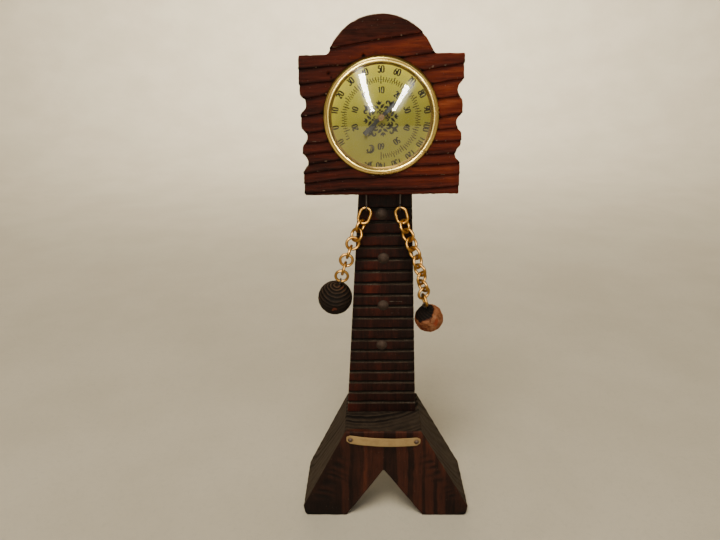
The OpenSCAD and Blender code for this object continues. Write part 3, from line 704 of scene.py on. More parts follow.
def head_board():
    creases = [(circle_pts(27.3, 200), True), (circle_pts(27.2, 200), True)]
    side = []
    for sgn in (-1, 1):
        for g in (0.13, 0.17):
            def edge(z, sgn=sgn, g=g):
                return -2.25 + 2.55 * (z - 67.6) / 144.7 + sgn * (22.6 - 7.1 * (z - 67.6) / 144.7 + g)
            zs = np.linspace(218.2, 262.13 if g == 0.13 else 262.17, 45)
            side.append([(edge(z), z) for z in zs])
    lo = side[0] + side[2][::-1]
    hi = side[1] + side[3][::-1]

    def dense(p):
        return [tuple(q) for q in resample(np.array(p), 0.9, closed=False)]

    loop = head_loop()
    for line in GRAIN:
        px, pz = zip(*line)
        xs = np.arange(HEAD_L, HEAD_R, 0.5)
        zs = np.interp(xs, px, pz)
        for _ in range(12):
            w = 0.30 * noise(xs / 9, zs / 5, HEAD_Y0 / 20, 5) + 0.12 * noise(xs / 2.6, zs / 2.2, HEAD_Y0 / 8, 6)
            zs = np.interp(xs, px, pz) + w
        far = np.array([np.hypot(loop[:, 0] - a, loop[:, 1] - b).min() for a, b in zip(xs, zs)])
        # even-odd test against the outline
        Q = np.roll(loop, -1, axis=0)
        inn = np.array([(((loop[:, 1] > b) != (Q[:, 1] > b)) & (a < (Q[:, 0] - loop[:, 0]) * (b - loop[:, 1]) / (Q[:, 1] - loop[:, 1] + 1e-12) + loop[:, 0])).sum() % 2 for a, b in zip(xs, zs)])
        ok = (far > 0.9) & (inn == 1) & (np.hypot(xs - DIAL_X, zs - DIAL_Z) > 29.5)
        for g in (-0.14, 0.22):
            run = []
            for k in range(len(xs)):
                if ok[k]:
                    run.append((float(xs[k]), float(zs[k] + g)))
                if (not ok[k] or k == len(xs) - 1) and run:
                    if len(run) > 4:
                        creases.append((run, False))
                    run = []
    V, F, d, code = board(loop, HEAD_Y0, HEAD_Y1, 0.55, 0.75, head_front, head_back, head_wall,
                          creases, [(dense(lo), False), (dense(hi), False)], back_pitch=1.3, wall_pitch=0.9)
    x, y, z = V.T
    depth, near, crest, pos, S = head_relief(x, y, z)
    front = code == 0
    band = (S > 0).sum(0)
    rnd = _hash(band.astype(np.int64) * 3 + 1, band.astype(np.int64), np.zeros(len(band), np.int64), 7)
    right = step(-36, 30, x)
    low = step(300, 222, z)
    arch = step(0.4, 2.6, S[0])
    glow = np.exp(-(((pos - 0.34) / 0.30) ** 2))
    tone = 0.375 + 0.12 * right + 0.15 * glow * (0.45 + 0.75 * right) + 0.05 * rnd - 0.05 * low * (1 - right)
    tone = tone + 0.11 * fbm(x / 22, y / 30, z / 8, 61, 3) + 0.05 * noise(x / 30, y / 20, z / 1.1, 64)
    # the band under the arch and the ones right of the dial are the brightest
    tone = tone + 0.13 * np.exp(-(((x - 6) / 16) ** 2 + ((z - 292) / 3.5) ** 2))
    tone = tone + 0.14 * step(20, 32, x) * np.exp(-(((z - 268) / 16) ** 2))
    tone = tone - 0.08 * np.exp(-(((x + 5) / 28) ** 2 + ((z - 222) / 9) ** 2))
    tone = tone * (1 - arch) + arch * (0.33 + 0.13 * fbm(x / 10, 0, z / 3, 62, 4) + 0.06 * np.exp(-(((x + 12) / 8) ** 2 + ((z - 301) / 4) ** 2)))
    tone = np.where(code == 1, 0.30 + 0.1 * fbm(x / 20, 3, z / 2.5, 63, 3), tone)
    lip = step(0.50, 0.80, pos)
    # painted shadow: near darkens each crack as the shadow under the proud hard line above it; the crest term is the
    # hard lines' own dark colour
    char = 0.80 * near + (0.36 - 0.04 * right + 0.14 * noise(x / 6, z / 2, y / 9, 65)) * crest * (1 - arch) + 0.12 * lip * (1 - arch) + 0.05 * (1 - right) * (1 - arch)
    r = np.hypot(x - DIAL_X, z - DIAL_Z)
    pit = 0
    for (px, pz, pr) in ((-11.0, 288.6, 0.9), (-29.0, 280.2, 1.0), (-27.6, 278.4, 0.6)):
        pit = pit + 0.6 * np.exp(-((np.hypot(x - px, z - pz) / pr) ** 2))
    char = np.where(front, char + pit, char)
    char = np.where(code == 1, 0.14 + 0.16 * lip + 0.10 * noise(x / 14, 5, z / 2.2, 67), char)
    # painted shadow: a dark ring on the board round the bezel, standing in for the bezel's shadow, which is switched
    # off
    char = np.where(front & (r > 29.5), char + 0.40 * np.exp(-(((r - 30) / 1.3) ** 2)), char)
    char = np.where(front, char + 0.30 * np.exp(-((d / 0.9) ** 2)) * (1 - arch), char)
    grey = np.where(code == 2, 0.22 + 0.2 * np.abs(y) / 10, 0.33 * arch + 0.02 * (1 - right) + 0.10 * crest * (1 - right))
    grey = np.where(code == 1, 0.35, grey)
    dust = np.clip(noise(x / 1.6, z / 0.8, y / 3, 66) - 0.15, 0, 1)
    wear = np.where(front, (0.50 + 0.35 * arch) * np.exp(-((d / 0.6) ** 2)) + 0.12 * arch, 0)
    wear = np.where(code == 2, 0.50 * np.exp(-((d / 0.8) ** 2)), wear)
    # light specks along the crests and streaks on the lips are partly dust and partly painted highlight, standing in
    # for the gloss on the crest edges
    wear = wear + (1.45 * dust * crest + 0.30 * lip * np.clip(noise(x / 3.1, z / 0.5, 2, 68), 0, 1)) * front * (1 - arch)
    make_piece("head_board_carved", V, F, MAT_HEAD, "root",
               dict(tone=tone, char=char, grey=grey, wear=wear), ["head_board"])


head_board()


# ------------------------------------------------------------------ column
COL_F, COL_B = 1.2, 21.2


def col_mid(z):
    return -2.25 + 2.55 * (z - 67.6) / 144.7


def col_half(z):
    return 22.6 - 7.1 * (z - 67.6) / 144.7


def column():
    kerfs = 206.3 - 7.72 * np.arange(18)
    cuts = [-1.25, -0.98, -0.82, -0.70, -0.35, 0.0, 0.35, 0.70, 0.82, 0.98, 1.25]
    zs = set()
    for k in kerfs:
        zs |= {round(float(k + c), 3) for c in cuts}
    edges = [67.6, 67.66, 67.75, 67.95, 68.3] + [float(v) for v in np.arange(69, 262, 0.78)] + [261.4, 261.8, 262.0]
    for e in edges:
        if all(abs(e - k) > 1.45 for k in kerfs):
            zs.add(round(e, 3))
    zs = np.array(sorted(zs))
    u = np.r_[-1, np.linspace(-0.992, -0.93, 4), np.linspace(-0.9, 0.9, 50), np.linspace(0.93, 0.992, 4), 1]
    Z, U = np.meshgrid(zs, u, indexing="ij")
    hw, mid = col_half(Z), col_mid(Z)
    r = 0.55
    d = np.minimum((1 - np.abs(U)) * hw, np.minimum(Z - 67.6, 262 - Z) + 0.25)
    drop = np.where(d < r, r - np.sqrt(np.maximum(r * r - (r - np.clip(d, 0, r)) ** 2, 0)), 0)
    X = mid + hw * U
    # saw grooves with slightly ragged lips
    K = np.abs(Z[..., None] - kerfs).argmin(-1)
    s = Z - kerfs[K]
    rag = 0.05 * noise(X / 1.4, K * 5.1, 0, 71) + 0.05 * noise(X / 5, K * 3.3, 0, 72)
    half = 0.80 + rag
    tilt = 0.012 * X * noise(K * 1.7, 0, 0, 73)
    prof = 1 - step(half - 0.06, half + 0.20, np.abs(s))
    deep = 1.38 + 0.10 * noise(X / 6, K * 2.1, 4, 74)
    crown = 0.05 * (1 - np.clip(np.abs(np.abs(s) - 3.86) / 3.0, 0, 1) ** 2)
    chips = 0
    rng = np.random.default_rng(5)
    for _ in range(34):
        k = rng.integers(0, 18)
        cx = rng.uniform(-20, 20)
        zc = kerfs[k] + rng.choice([-1, 1]) * 0.95
        chips = chips + rng.uniform(0.2, 0.6) * np.exp(-(((X - cx) / rng.uniform(0.6, 2.2)) ** 2 + ((Z - zc) / 0.35) ** 2))
    fib = 0.06 * fbm(X / 0.9, 0, Z / 14, 75, 3) + 0.05 * noise(X / 3.5, 0, Z / 40, 76)
    Y = COL_F + drop + np.maximum(prof * deep, 0) + np.maximum(0.06 + fib - crown, 0) * (1 - prof) + chips * (1 - prof)
    nz, nu = Z.shape
    front = np.stack([X, Y, Z], -1)
    # back face
    fibb = 0.08 + 0.07 * fbm(X / 1.1, 5, Z / 16, 77, 3)
    YB = COL_B - drop - np.maximum(fibb, 0)
    back = np.stack([X, YB, Z], -1)
    rows = 16
    V = [front.reshape(-1, 3), back.reshape(-1, 3)]
    idx = lambda o, i, j: o + i * nu + j
    F = []
    ob = nz * nu
    for i in range(nz - 1):
        for j in range(nu - 1):
            F.append((idx(0, i, j), idx(0, i, j + 1), idx(0, i + 1, j + 1), idx(0, i + 1, j)))
            F.append((idx(ob, i, j), idx(ob, i + 1, j), idx(ob, i + 1, j + 1), idx(ob, i, j + 1)))
    code = [np.zeros(ob), np.ones(ob)]
    dist = [d.ravel(), d.ravel()]
    # rim loop, counter-clockwise seen from the front
    rim = [(0, j) for j in range(nu)] + [(i, nu - 1) for i in range(1, nz)] + [(nz - 1, j) for j in range(nu - 2, -1, -1)] + [(i, 0) for i in range(nz - 2, 0, -1)]
    ri = np.array([i for i, j in rim])
    rj = np.array([j for i, j in rim])
    n = len(rim)
    f0 = ri * nu + rj
    b0 = f0 + ob
    A, Bk = front[ri, rj], back[ri, rj]
    side = np.where(rj == 0, -1.0, np.where(rj == nu - 1, 1.0, 0.0))
    prev, off = f0, 2 * ob
    nx = np.roll(np.arange(n), -1)
    for k in range(1, rows):
        t = k / rows
        y = A[:, 1] + (Bk[:, 1] - A[:, 1]) * t
        inn = np.maximum(0.05 + 0.06 * fbm(3 + side, y / 1.3, A[:, 2] / 15, 78, 3) + 0.03 * noise(y / 0.8, 0, A[:, 2] / 1.5, 79), 0) * math.sin(math.pi * t) ** 0.5
        V.append(np.stack([A[:, 0] - side * inn, y, A[:, 2]], 1))
        code.append(np.full(n, 2.0))
        dist.append(np.minimum(y - A[:, 1], Bk[:, 1] - y))
        cur = off + np.arange(n)
        off += n
        F += [(prev[i], cur[i], cur[nx[i]], prev[nx[i]]) for i in range(n)]
        prev = cur
    F += [(prev[i], b0[i], b0[nx[i]], prev[nx[i]]) for i in range(n)]
    F = [tuple(int(q) for q in f) for f in F]
    V = np.vstack(V)
    code, dist = np.concatenate(code), np.concatenate(dist)
    x, y, z = V.T
    K = np.abs(z[:, None] - kerfs).argmin(-1)
    s = z - kerfs[K]
    u = (x - col_mid(z)) / col_half(z)
    inside = (np.abs(s) < 0.95) & (y > COL_F + 0.35) & (code == 0)
    band = np.floor((206.3 - z) / 7.72).astype(np.int64) + 3
    rnd = _hash(band, band * 0, band * 0 + 2, 9)
    rnd2 = _hash(band, band * 0 + 1, band * 0 + 2, 10)
    red = np.exp(-(((u + 0.28 + 0.2 * rnd) / 0.50) ** 2)) * step(118, 160, z) * step(214, 196, z)
    red = red + 0.9 * np.exp(-(((u + 0.86) / 0.30) ** 2)) * step(118, 84, z) + 0.35 * np.exp(-(((u - 0.05 - 0.3 * rnd2) / 0.45) ** 2)) * step(138, 100, z)
    tone = 0.13 + 0.27 * red * (0.75 + 0.3 * rnd) + 0.09 * fbm(x / 3.0, band * 2.0, z / 9, 81, 3) + 0.06 * fbm(x / 1.2, 0, z / 30, 82, 2)
    tone = tone - 0.06 * step(0.3, 0.9, u)
    tone = np.where(code == 0, tone, 0.20 + 0.08 * fbm(y / 2, x / 2, z / 24, 83, 3))
    char = np.where(code == 0, 0.10 + 0.30 * step(0.35, 0.95, u) * step(60, 120, z) + 0.12 * np.maximum(noise(x / 5, band * 1.3, z / 8, 84), 0), 0.12)
    # painted shade: the top lip of each groove and the top half of its inside are darkened as the shade under the lip;
    # the bottom lip and bottom inside are bare grey wood, made lighter as a painted highlight where they face up
    upper = np.exp(-(((s - 0.72) / 0.30) ** 2)) * (code == 0)
    lower = np.exp(-(((s + 0.88) / 0.42) ** 2)) * (code == 0)
    char = np.where(inside & (s > -0.10), 0.95, np.where(inside, 0.25, char + 0.45 * upper))
    grey = np.where(code == 0, 0.04 + 0.72 * lower + 0.10 * np.exp(-(((s + 1.5) / 0.5) ** 2)), 0.16)
    grey = np.where(inside & (s < -0.10), 0.85, grey)
    grey = np.where(code == 1, 0.30, grey)
    # the bottom lip of each groove also gets light wear colour, partly a painted highlight
    wear = np.where(code == 0, 0.40 * np.exp(-((dist / 0.6) ** 2)) + 0.62 * lower * (0.85 + 0.3 * noise(x / 6, band, 0, 86)), 0.45 * np.exp(-((dist / 0.5) ** 2)))
    for (x0, x1, zc, a) in ((2.0, 11.5, 147.6, 0.9), (3.5, 9.5, 139.8, 0.8), (9, 13.5, 146.9, 0.6), (-6, -2.5, 167.2, 0.5), (-2.5, 3, 163.0, 0.45)):
        wear = wear + a * (code == 0) * step(x0 - 0.6, x0 + 0.6, x) * step(x1 + 0.6, x1 - 0.6, x) * np.exp(-(((z - zc - 0.25 * noise(x / 2, 0, 0, 85)) / 0.32) ** 2))
    # painted shadow: the top of the column just under the head board is darkened as the head's shadow
    tone = np.where(z > 209, tone * 0.8, tone)
    make_piece("column_grooved", V, F, MAT_COLUMN, "root",
               dict(tone=tone, char=char, grey=grey, wear=wear), ["column"])


column()


# -------------------------------------------------------------- base block
BASE_F, BASE_B = -20.5, 23.7


def base_loop():
    P = [(-53.9, 0), (-25.9, 0), (-1.3, 37.5), (24.7, 0), (53.9, 0), (55.35, 7.2), (22.8, 67.6), (-25.6, 67.6), (-55.35, 7.2)]
    P = resample(P, 0.2)
    soft = smooth_loop(P, 2.2)
    heavy = smooth_loop(P, 8.0)
    w = 0
    for c in ((-54.4, 2.0), (54.4, 2.0)):
        w = w + np.exp(-((np.hypot(P[:, 0] - c[0], P[:, 1] - c[1]) / 5.0) ** 2))
    w = np.clip(w, 0, 1)[:, None]
    Q = soft * (1 - w) + heavy * w
    Q[:, 1] = np.maximum(Q[:, 1], 0)
    return Q


def ring_field(x, y, z):
    """Growth rings of the block: upright fibres round a heart behind it."""
    dx = x + 11.0 + 1.6 * noise(z / 30, 3, 0, 91)
    dy = y - 38 + 2.2 * noise(z / 38, 7, 1, 92)
    rho = np.hypot(dx * 0.93, dy) + 1.3 * noise(x / 13, y / 13, z / 40, 93) + 0.35 * noise(x / 4, y / 4, z / 16, 94)
    g = rho / 3.3 + 0.55 * noise(rho / 4.5, 0, 0, 95)
    f = g - np.floor(g)
    late = step(0.55, 0.93, f) * (1 - step(0.95, 1.0, f))
    return g, f, late


# bands of stain across the front: left end, right end, brightness
BANDS = [(-60, -46, 0.20), (-46, -38, 0.12), (-38, -29, 0.17), (-29, -24, 0.34), (-24, -21.6, 0.08), (-21.6, -14.6, 0.21), (-14.6, -12.2, 0.50), (-12.2, -2.2, 0.34), (-2.2, 7.6, 0.08), (7.6, 14.6, 0.42), (14.6, 18.4, 0.10), (18.4, 24.2, 0.40), (24.2, 26.2, 0.14), (26.2, 31.8, 0.42), (31.8, 34.2, 0.14), (34.2, 39.6, 0.38), (39.6, 46, 0.12), (46, 60, 0.24)]


def slope_place(x, z):
    """Distance in from the nearer slope and which side."""
    sgn = np.where(x < -1.4, -1.0, 1.0)
    ex = np.where(sgn < 0, -55.35 + (z - 7.2) * (29.75 / 60.4), 55.35 - (z - 7.2) * (32.55 / 60.4))
    d = np.abs(x - ex) * 0.89
    return d, sgn


def scorch(x, z):
    """Short slanting gouges near both slopes."""
    d, sgn = slope_place(x, z)
    t = z + np.where(sgn < 0, 1, -1) * 0.36 * (x + 0) + 1.2 * noise(x / 12, z / 12, 0, 101)
    ph = t / np.where(sgn < 0, 6.2, 5.6) + 0.45 * noise(t / 9, sgn, 0, 102)
    wave = 0.5 + 0.5 * np.cos(2 * math.pi * ph)
    wave = wave * (0.80 + 0.35 * noise(x / 5, z / 4, sgn * 2, 97))
    reach = np.where(sgn < 0, 19.0, 16.0) * (1 + 0.30 * noise(ph * 0.8, sgn * 3, 0, 103))
    mask = step(1.0, 6.0, d) * (1 - step(reach * 0.35, reach, d)) * step(8, 18, z) * (1 - step(44, 57, z))
    return wave, mask


def base_front(x, z, d):
    wave, mask = scorch(x, z)
    fib = 0.07 * fbm(x / 1.5, 0, z / 22, 104, 3) + 0.10 * noise(x / 4.2, 0, z / 60, 105)
    vein = 0
    for a, b, t in BANDS:
        vein = vein + 0.16 * np.exp(-(((x - b - 0.02 * (z - 30) - 0.6 * noise(z / 14, b, 0, 106)) / 0.5) ** 2))
    dents = 0
    for (cx, cz, r, k) in ((-20.6, 14.5, 0.6, 0.35), (-33.2, 6.2, 0.5, 0.3), (38.5, 1.9, 0.45, 0.3), (46.4, 3.0, 0.5, 0.3), (-30.6, 9.0, 0.35, 0.25)):
        dents = dents + k * np.exp(-(((x - cx) / r) ** 2 + ((z - cz) / (r * 1.6)) ** 2))
    return np.maximum(0.16 + fib + 0.30 * wave * mask + vein * 0.6 + dents, 0)


def base_back(x, z, d):
    return np.maximum(0.12 + 0.09 * fbm(x / 1.7, 5, z / 24, 107, 3) + 0.08 * noise(x / 5, 2, z / 50, 108), 0)


def base_wall(x, y, z, N):
    g, f, late = ring_field(x, y, z)
    feet = step(-0.6, -0.95, N[:, 1]) * (z < 1)
    amp = 0.30 * (1 - feet)
    rough = 0.05 * noise(x / 1.1, y / 1.1, z / 1.1, 109) + 0.06 * noise(x / 5, y / 5, z / 5, 110)
    return np.maximum(0.12 + amp * (1 - late) * (0.55 + 0.45 * (1 - f)) * 0.6 + rough * (1 - feet), 0) * (1 - feet)


def base_block():
    V, F, d, code = board(base_loop(), BASE_F, BASE_B, 0.6, 0.65, base_front, base_back, base_wall, back_pitch=1.4, wall_pitch=0.75)
    x, y, z = V.T
    g, f, late = ring_field(x, y, z)
    front = code == 0
    ledge = (code == 2) & (z > 66.5)
    slope = (code == 2) & ~ledge & (np.abs(x) > 20) & (z > 6)
    notch = (code == 2) & (np.abs(x) < 26) & (z < 38)
    warp = 0.7 * noise(z / 16, x / 30, 0, 111) + 0.35 * noise(z / 5, x / 9, 0, 112) + 0.03 * (z - 30) * np.sign(x)
    xw = x + warp
    b = np.zeros(len(x))
    for a0, a1, t in BANDS:
        b += t * step(a0 - 0.45, a0 + 0.45, xw) * (1 - step(a1 - 0.45, a1 + 0.45, xw))
    wave, mask = scorch(x, z)
    top = step(44, 62, z) * step(22, 8, np.abs(x + 1))
    tone = b * (1.00 + 0.10 * step(30, 60, z)) + 0.05 * top + 0.07 * fbm(x / 2.2, 0, z / 20, 113, 3)
    dslope, sgn = slope_place(x, z)
    m2 = mask * np.where(sgn < 0, 0.85, 0.95)
    tone = tone * (1 - 0.8 * m2) + 0.8 * m2 * (0.36 - 0.30 * wave + np.where(sgn > 0, 0.06, 0.0))
    tone = tone - 0.12 * step(22, 6, z) * step(-24, -34, x)
    tone = tone + 0.10 * np.exp(-((dslope / 3.0) ** 2)) * step(6, 14, z) * (sgn > 0)
    tone = tone - 0.05 * step(20, 32, np.abs(x + 1)) * step(60, 40, z)
    tone = np.where(front, tone, 0.24 + 0.06 * fbm(x / 4, y / 3, z / 12, 114, 3))
    patch = ledge * np.exp(-(((x + 17) / 9) ** 2)) * step(-15.5, -18.5, y)
    tone = np.where(ledge, 0.26 + 0.22 * patch, tone)
    tone = np.where(notch, 0.22, tone)
    char = np.where(front, 0.06 + 0.34 * mask * wave + 0.10 * np.maximum(noise(x / 7, 0, z / 16, 115), 0), 0.0)
    char = char + np.where(front, 0.10 * step(20, 32, np.abs(x + 1)) + 0.35 * step(4, 0, z) + 0.25 * step(26, 10, z) * step(-25, -40, x), 0)
    line = np.exp(-(((f - 0.94) / 0.17) ** 2)) + np.exp(-(((f + 0.06) / 0.17) ** 2))
    each = 0.60 + 0.40 * _hash(np.floor(g + 0.3).astype(np.int64), np.zeros(len(x), np.int64), np.zeros(len(x), np.int64), 98)
    each = each + 0.3 * noise(x / 9, y / 9, z / 12, 99)
    char = np.where(code == 2, 0.20 + np.where(ledge, 0.62, 0.30) * each * np.clip(line, 0, 1) + 0.12 * (1 - f) + 0.16 * ledge, char)
    char = np.where(notch, char + 0.25, char)
    # black worn toes
    char = char + 0.45 * step(5, 1.5, z) * step(46, 53, np.abs(x))
    grey = np.where(slope, 0.90, np.where(ledge, 0.80 * (1 - patch) + 0.05, 0.0))
    grey = np.where(notch, 0.25, grey)
    grey = np.where(code == 1, 0.45, grey)
    grey = np.where((code == 2) & (z <= 6), 0.45, grey)
    grey = np.where(front, 0.05 + 0.25 * np.exp(-((d / 0.5) ** 2)), grey)
    wear = np.where(front, 0.50 * np.exp(-((d / 0.7) ** 2)), 0.45 * np.exp(-((d / 0.6) ** 2)))
    for (cx, cz, r) in ((-20.6, 14.5, 0.8), (-33.2, 6.2, 0.7), (38.5, 1.9, 0.7), (46.4, 3.0, 0.7)):
        wear = wear + 0.5 * front * np.exp(-(((x - cx) / r) ** 2 + ((z - cz) / r) ** 2))
    make_piece("base_block_carved", V, F, MAT_BASE, "root",
               dict(tone=tone, char=char, grey=grey, wear=wear), ["base_block"])


base_block()


# ------------------------------------------------------------- thermometer
def at_dial(V):
    V = np.asarray(V, float)
    return np.stack([DIAL_X + V[:, 0], HEAD_Y0 - V[:, 2], DIAL_Z + V[:, 1]], 1)


def dial_piece(name, V, F, mat, replaces=(), attrs=None, body="root", smooth=True):
    W = at_dial(V)
    return make_piece(name, W, fix_winding(W, F), mat, body, attrs, replaces, smooth)


def ang(V):
    """Degrees clockwise from the top, as seen from the front."""
    return np.degrees(np.arctan2(V[:, 0], V[:, 1])) % 360


def dent(A, at, width):
    d = (np.degrees(A) - at + 180) % 360 - 180
    return np.exp(-((d / width) ** 2))


def bezel():
    prof = [(29.42, 0.02), (29.86, 0.02), (29.97, 0.12), (30.0, 0.35), (30.0, 0.9), (29.99, 1.45), (29.93, 2.0), (29.82, 2.5), (29.66, 2.98), (29.45, 3.42),
            (29.20, 3.80), (28.94, 4.12), (28.72, 4.32), (28.60, 4.38), (28.54, 4.30), (28.46, 4.26), (28.38, 4.30), (28.33, 4.42), (28.20, 4.60), (28.02, 4.80), (27.84, 4.93),
            (27.68, 4.985), (27.40, 4.97), (27.18, 4.92), (27.03, 4.84), (26.98, 4.74), (27.02, 4.64), (27.43, 4.43), (28.30, 4.13), (28.46, 3.95), (28.5, 3.85), (28.5, 2.2), (28.5, 0.62), (29.38, 0.62), (29.42, 0.55)]

    prof = [(r + 0.3 * float(step(28.6, 29.6, r)), h) for r, h in prof]

    def wobble(R, H, A):
        top = step(1.2, 3.0, H) * step(27.2, 28.5, R)
        big = 0.030 * noise(np.cos(A) * 3.1, np.sin(A) * 3.1, H / 3, 201) + 0.006 * noise(np.cos(A) * 11, np.sin(A) * 11, H / 1.5, 202)
        bash = 0.22 * dent(A, 84, 5) + 0.16 * dent(A, 71, 4) + 0.20 * dent(A, 167, 7) + 0.14 * dent(A, 181, 4) + 0.10 * dent(A, 276, 4) + 0.12 * dent(A, 263, 3)
        crinkle = 0.5 + 0.5 * noise(np.degrees(A) / 1.8, H / 0.8, R, 203)
        d = (np.degrees(A) - 127 + 180) % 360 - 180
        seam = 0.16 * np.exp(-((d / 0.45) ** 2)) + 0.14 * np.where(d > 0, np.exp(-d / 16), 0)
        dr = top * (big - 0.55 * bash * crinkle - seam) * (H < 4.35) - 0.03 * top
        dh = top * (big * 0.6 - 0.75 * bash * crinkle - 0.2 * seam)
        return dr, np.minimum(dh, 0.0)

    V, F = lathe(prof, 360, wobble)
    a = ang(V)
    r = np.hypot(V[:, 0], V[:, 1])
    d = (a - 127 + 180) % 360 - 180
    # dark: the seam, painted shade in the groove inside the rim, and darker along the foot on the wood
    dark = 0.85 * np.exp(-((d / 0.5) ** 2)) + 1.0 * np.exp(-(((r - 28.48) / 0.30) ** 2)) * (V[:, 2] > 4) + 0.5 * (V[:, 2] < 0.3)
    dark = dark + 0.35 * (noise(a / 2.2, V[:, 2], 0, 205) > 0.35) * (np.exp(-(((a - 84) / 12) ** 2)) + np.exp(-(((a - 172) / 16) ** 2)))
    ring = dial_piece("bezel_turned", V, F, MAT_BEZEL, ["bezel_ring"], dict(dark=dark))
    ring.visible_shadow = False


def inner_ring():
    prof = [(25.65, 0.94), (25.78, 1.0), (26.25, 1.45), (26.75, 1.98), (27.2, 2.52), (27.58, 3.02), (27.78, 3.30), (27.9, 3.34), (28.2, 3.34), (28.28, 3.25), (28.28, 3.1), (27.85, 2.3), (27.1, 0.92)]
    V, F = lathe(prof, 240)
    ring = dial_piece("inner_slope_ring", V, F, MAT_RING_PAINTED_SHADE, ["inner_ring"])
    ring.visible_shadow = False


CRYSTAL_R = 65.5
CRYSTAL_Z = 3.35 - math.sqrt((CRYSTAL_R - 1) ** 2 - 27 * 27)


def crystal():
    prof = []
    rs = np.r_[0, np.linspace(0.7, 27.9, 40), 28.15, 28.27]
    for r in rs:
        prof.append((r, CRYSTAL_Z + math.sqrt(CRYSTAL_R**2 - r * r) - (0.05 if r > 28.2 else 0)))
    prof.append((28.29, 3.8))
    prof.append((28.29, 3.42))
    prof.append((28.2, 3.36))
    for r in np.linspace(27.2, 0.7, 40):
        prof.append((r, CRYSTAL_Z + math.sqrt((CRYSTAL_R - 1) ** 2 - r * r) + (0.012 if r > 26.9 else 0)))
    prof.append((0, CRYSTAL_Z + CRYSTAL_R - 1))
    V, F = cap_lathe(prof, 180)
    dial_piece("crystal_dome", V, F, MAT_CRYSTAL, ["crystal"])


def dial_plate():
    prof = []
    rs = [1.32] + list(np.linspace(1.8, 28.2, 46)) + [28.36, 28.4]
    for r in rs:
        prof.append((r, 0.9 - (0.03 if r < 1.4 or r > 28.37 else 0)))
    prof += [(28.4, 0.53), (28.36, 0.5)]
    prof += [(r, 0.5) for r in np.linspace(28.0, 1.4, 12)]
    prof += [(1.32, 0.53)]
    V, F = lathe(prof, 200)
    r = np.hypot(V[:, 0], V[:, 1])
    a = ang(V)
    # painted shade: dark rings the plate's rim under the inner ring and bezel, plus a darker patch near three o'clock
    dark = 0.60 * step(24.9, 26.2, r) * (0.45 + 0.55 * noise(a / 30, 3, 0, 211)) + 0.45 * np.exp(-(((a - 82) / 20) ** 2)) * step(22, 26, r)
    # painted sheen: tone lightens the plate towards the top and left
    dial_piece("dial_plate_painted", V, F, MAT_DIAL, ["dial_plate"], dict(dark=dark, tone=step(-8, 26, V[:, 1] - 0.22 * V[:, 0])))


def prism(poly, z0, z1):
    P = np.asarray(poly, float)
    n = len(P)
    area = 0.5 * np.sum(P[:, 0] * np.roll(P[:, 1], -1) - np.roll(P[:, 0], -1) * P[:, 1])
    if area < 0:
        P = P[::-1]
    V = np.vstack([np.c_[P, np.full(n, z0)], np.c_[P, np.full(n, z1)]])
    F = [tuple(range(n - 1, -1, -1)), tuple(range(n, 2 * n))]
    F += [(i, (i + 1) % n, n + (i + 1) % n, n + i) for i in range(n)]
    return V, F


def curve_through(pts, n):
    """Catmull-Rom curve through the points."""
    P = np.asarray(pts, float)
    P = np.vstack([2 * P[0] - P[1], P, 2 * P[-1] - P[-2]])
    out = []
    segs = len(P) - 3
    for t in np.linspace(0, segs, n):
        k = min(int(t), segs - 1)
        u = t - k
        a, b, c, d = P[k], P[k + 1], P[k + 2], P[k + 3]
        out.append(0.5 * ((2 * b) + (c - a) * u + (2 * a - 5 * b + 4 * c - d) * u * u + (3 * b - a - 3 * c + d) * u**3))
    return np.array(out)


def ribbon(pts, widths, n=14):
    C = curve_through(pts, n)
    w = np.interp(np.linspace(0, 1, n), np.linspace(0, 1, len(widths)), widths) / 2
    t = np.gradient(C, axis=0)
    t /= np.linalg.norm(t, axis=1)[:, None] + 1e-9
    nrm = np.stack([-t[:, 1], t[:, 0]], 1)
    return np.vstack([C + nrm * w[:, None], (C - nrm * w[:, None])[::-1]])


def disc(cx, cy, r, n=16):
    a = np.linspace(0, 2 * math.pi, n, endpoint=False)
    return np.stack([cx + r * np.cos(a), cy + r * np.sin(a)], 1)


def turn(P, deg, r=0.0):
    """Turns clockwise by deg after moving out by r along +y."""
    P = np.asarray(P, float) + [0, r]
    a = math.radians(deg)
    return np.stack([P[:, 0] * math.cos(a) + P[:, 1] * math.sin(a), -P[:, 0] * math.sin(a) + P[:, 1] * math.cos(a)], 1)


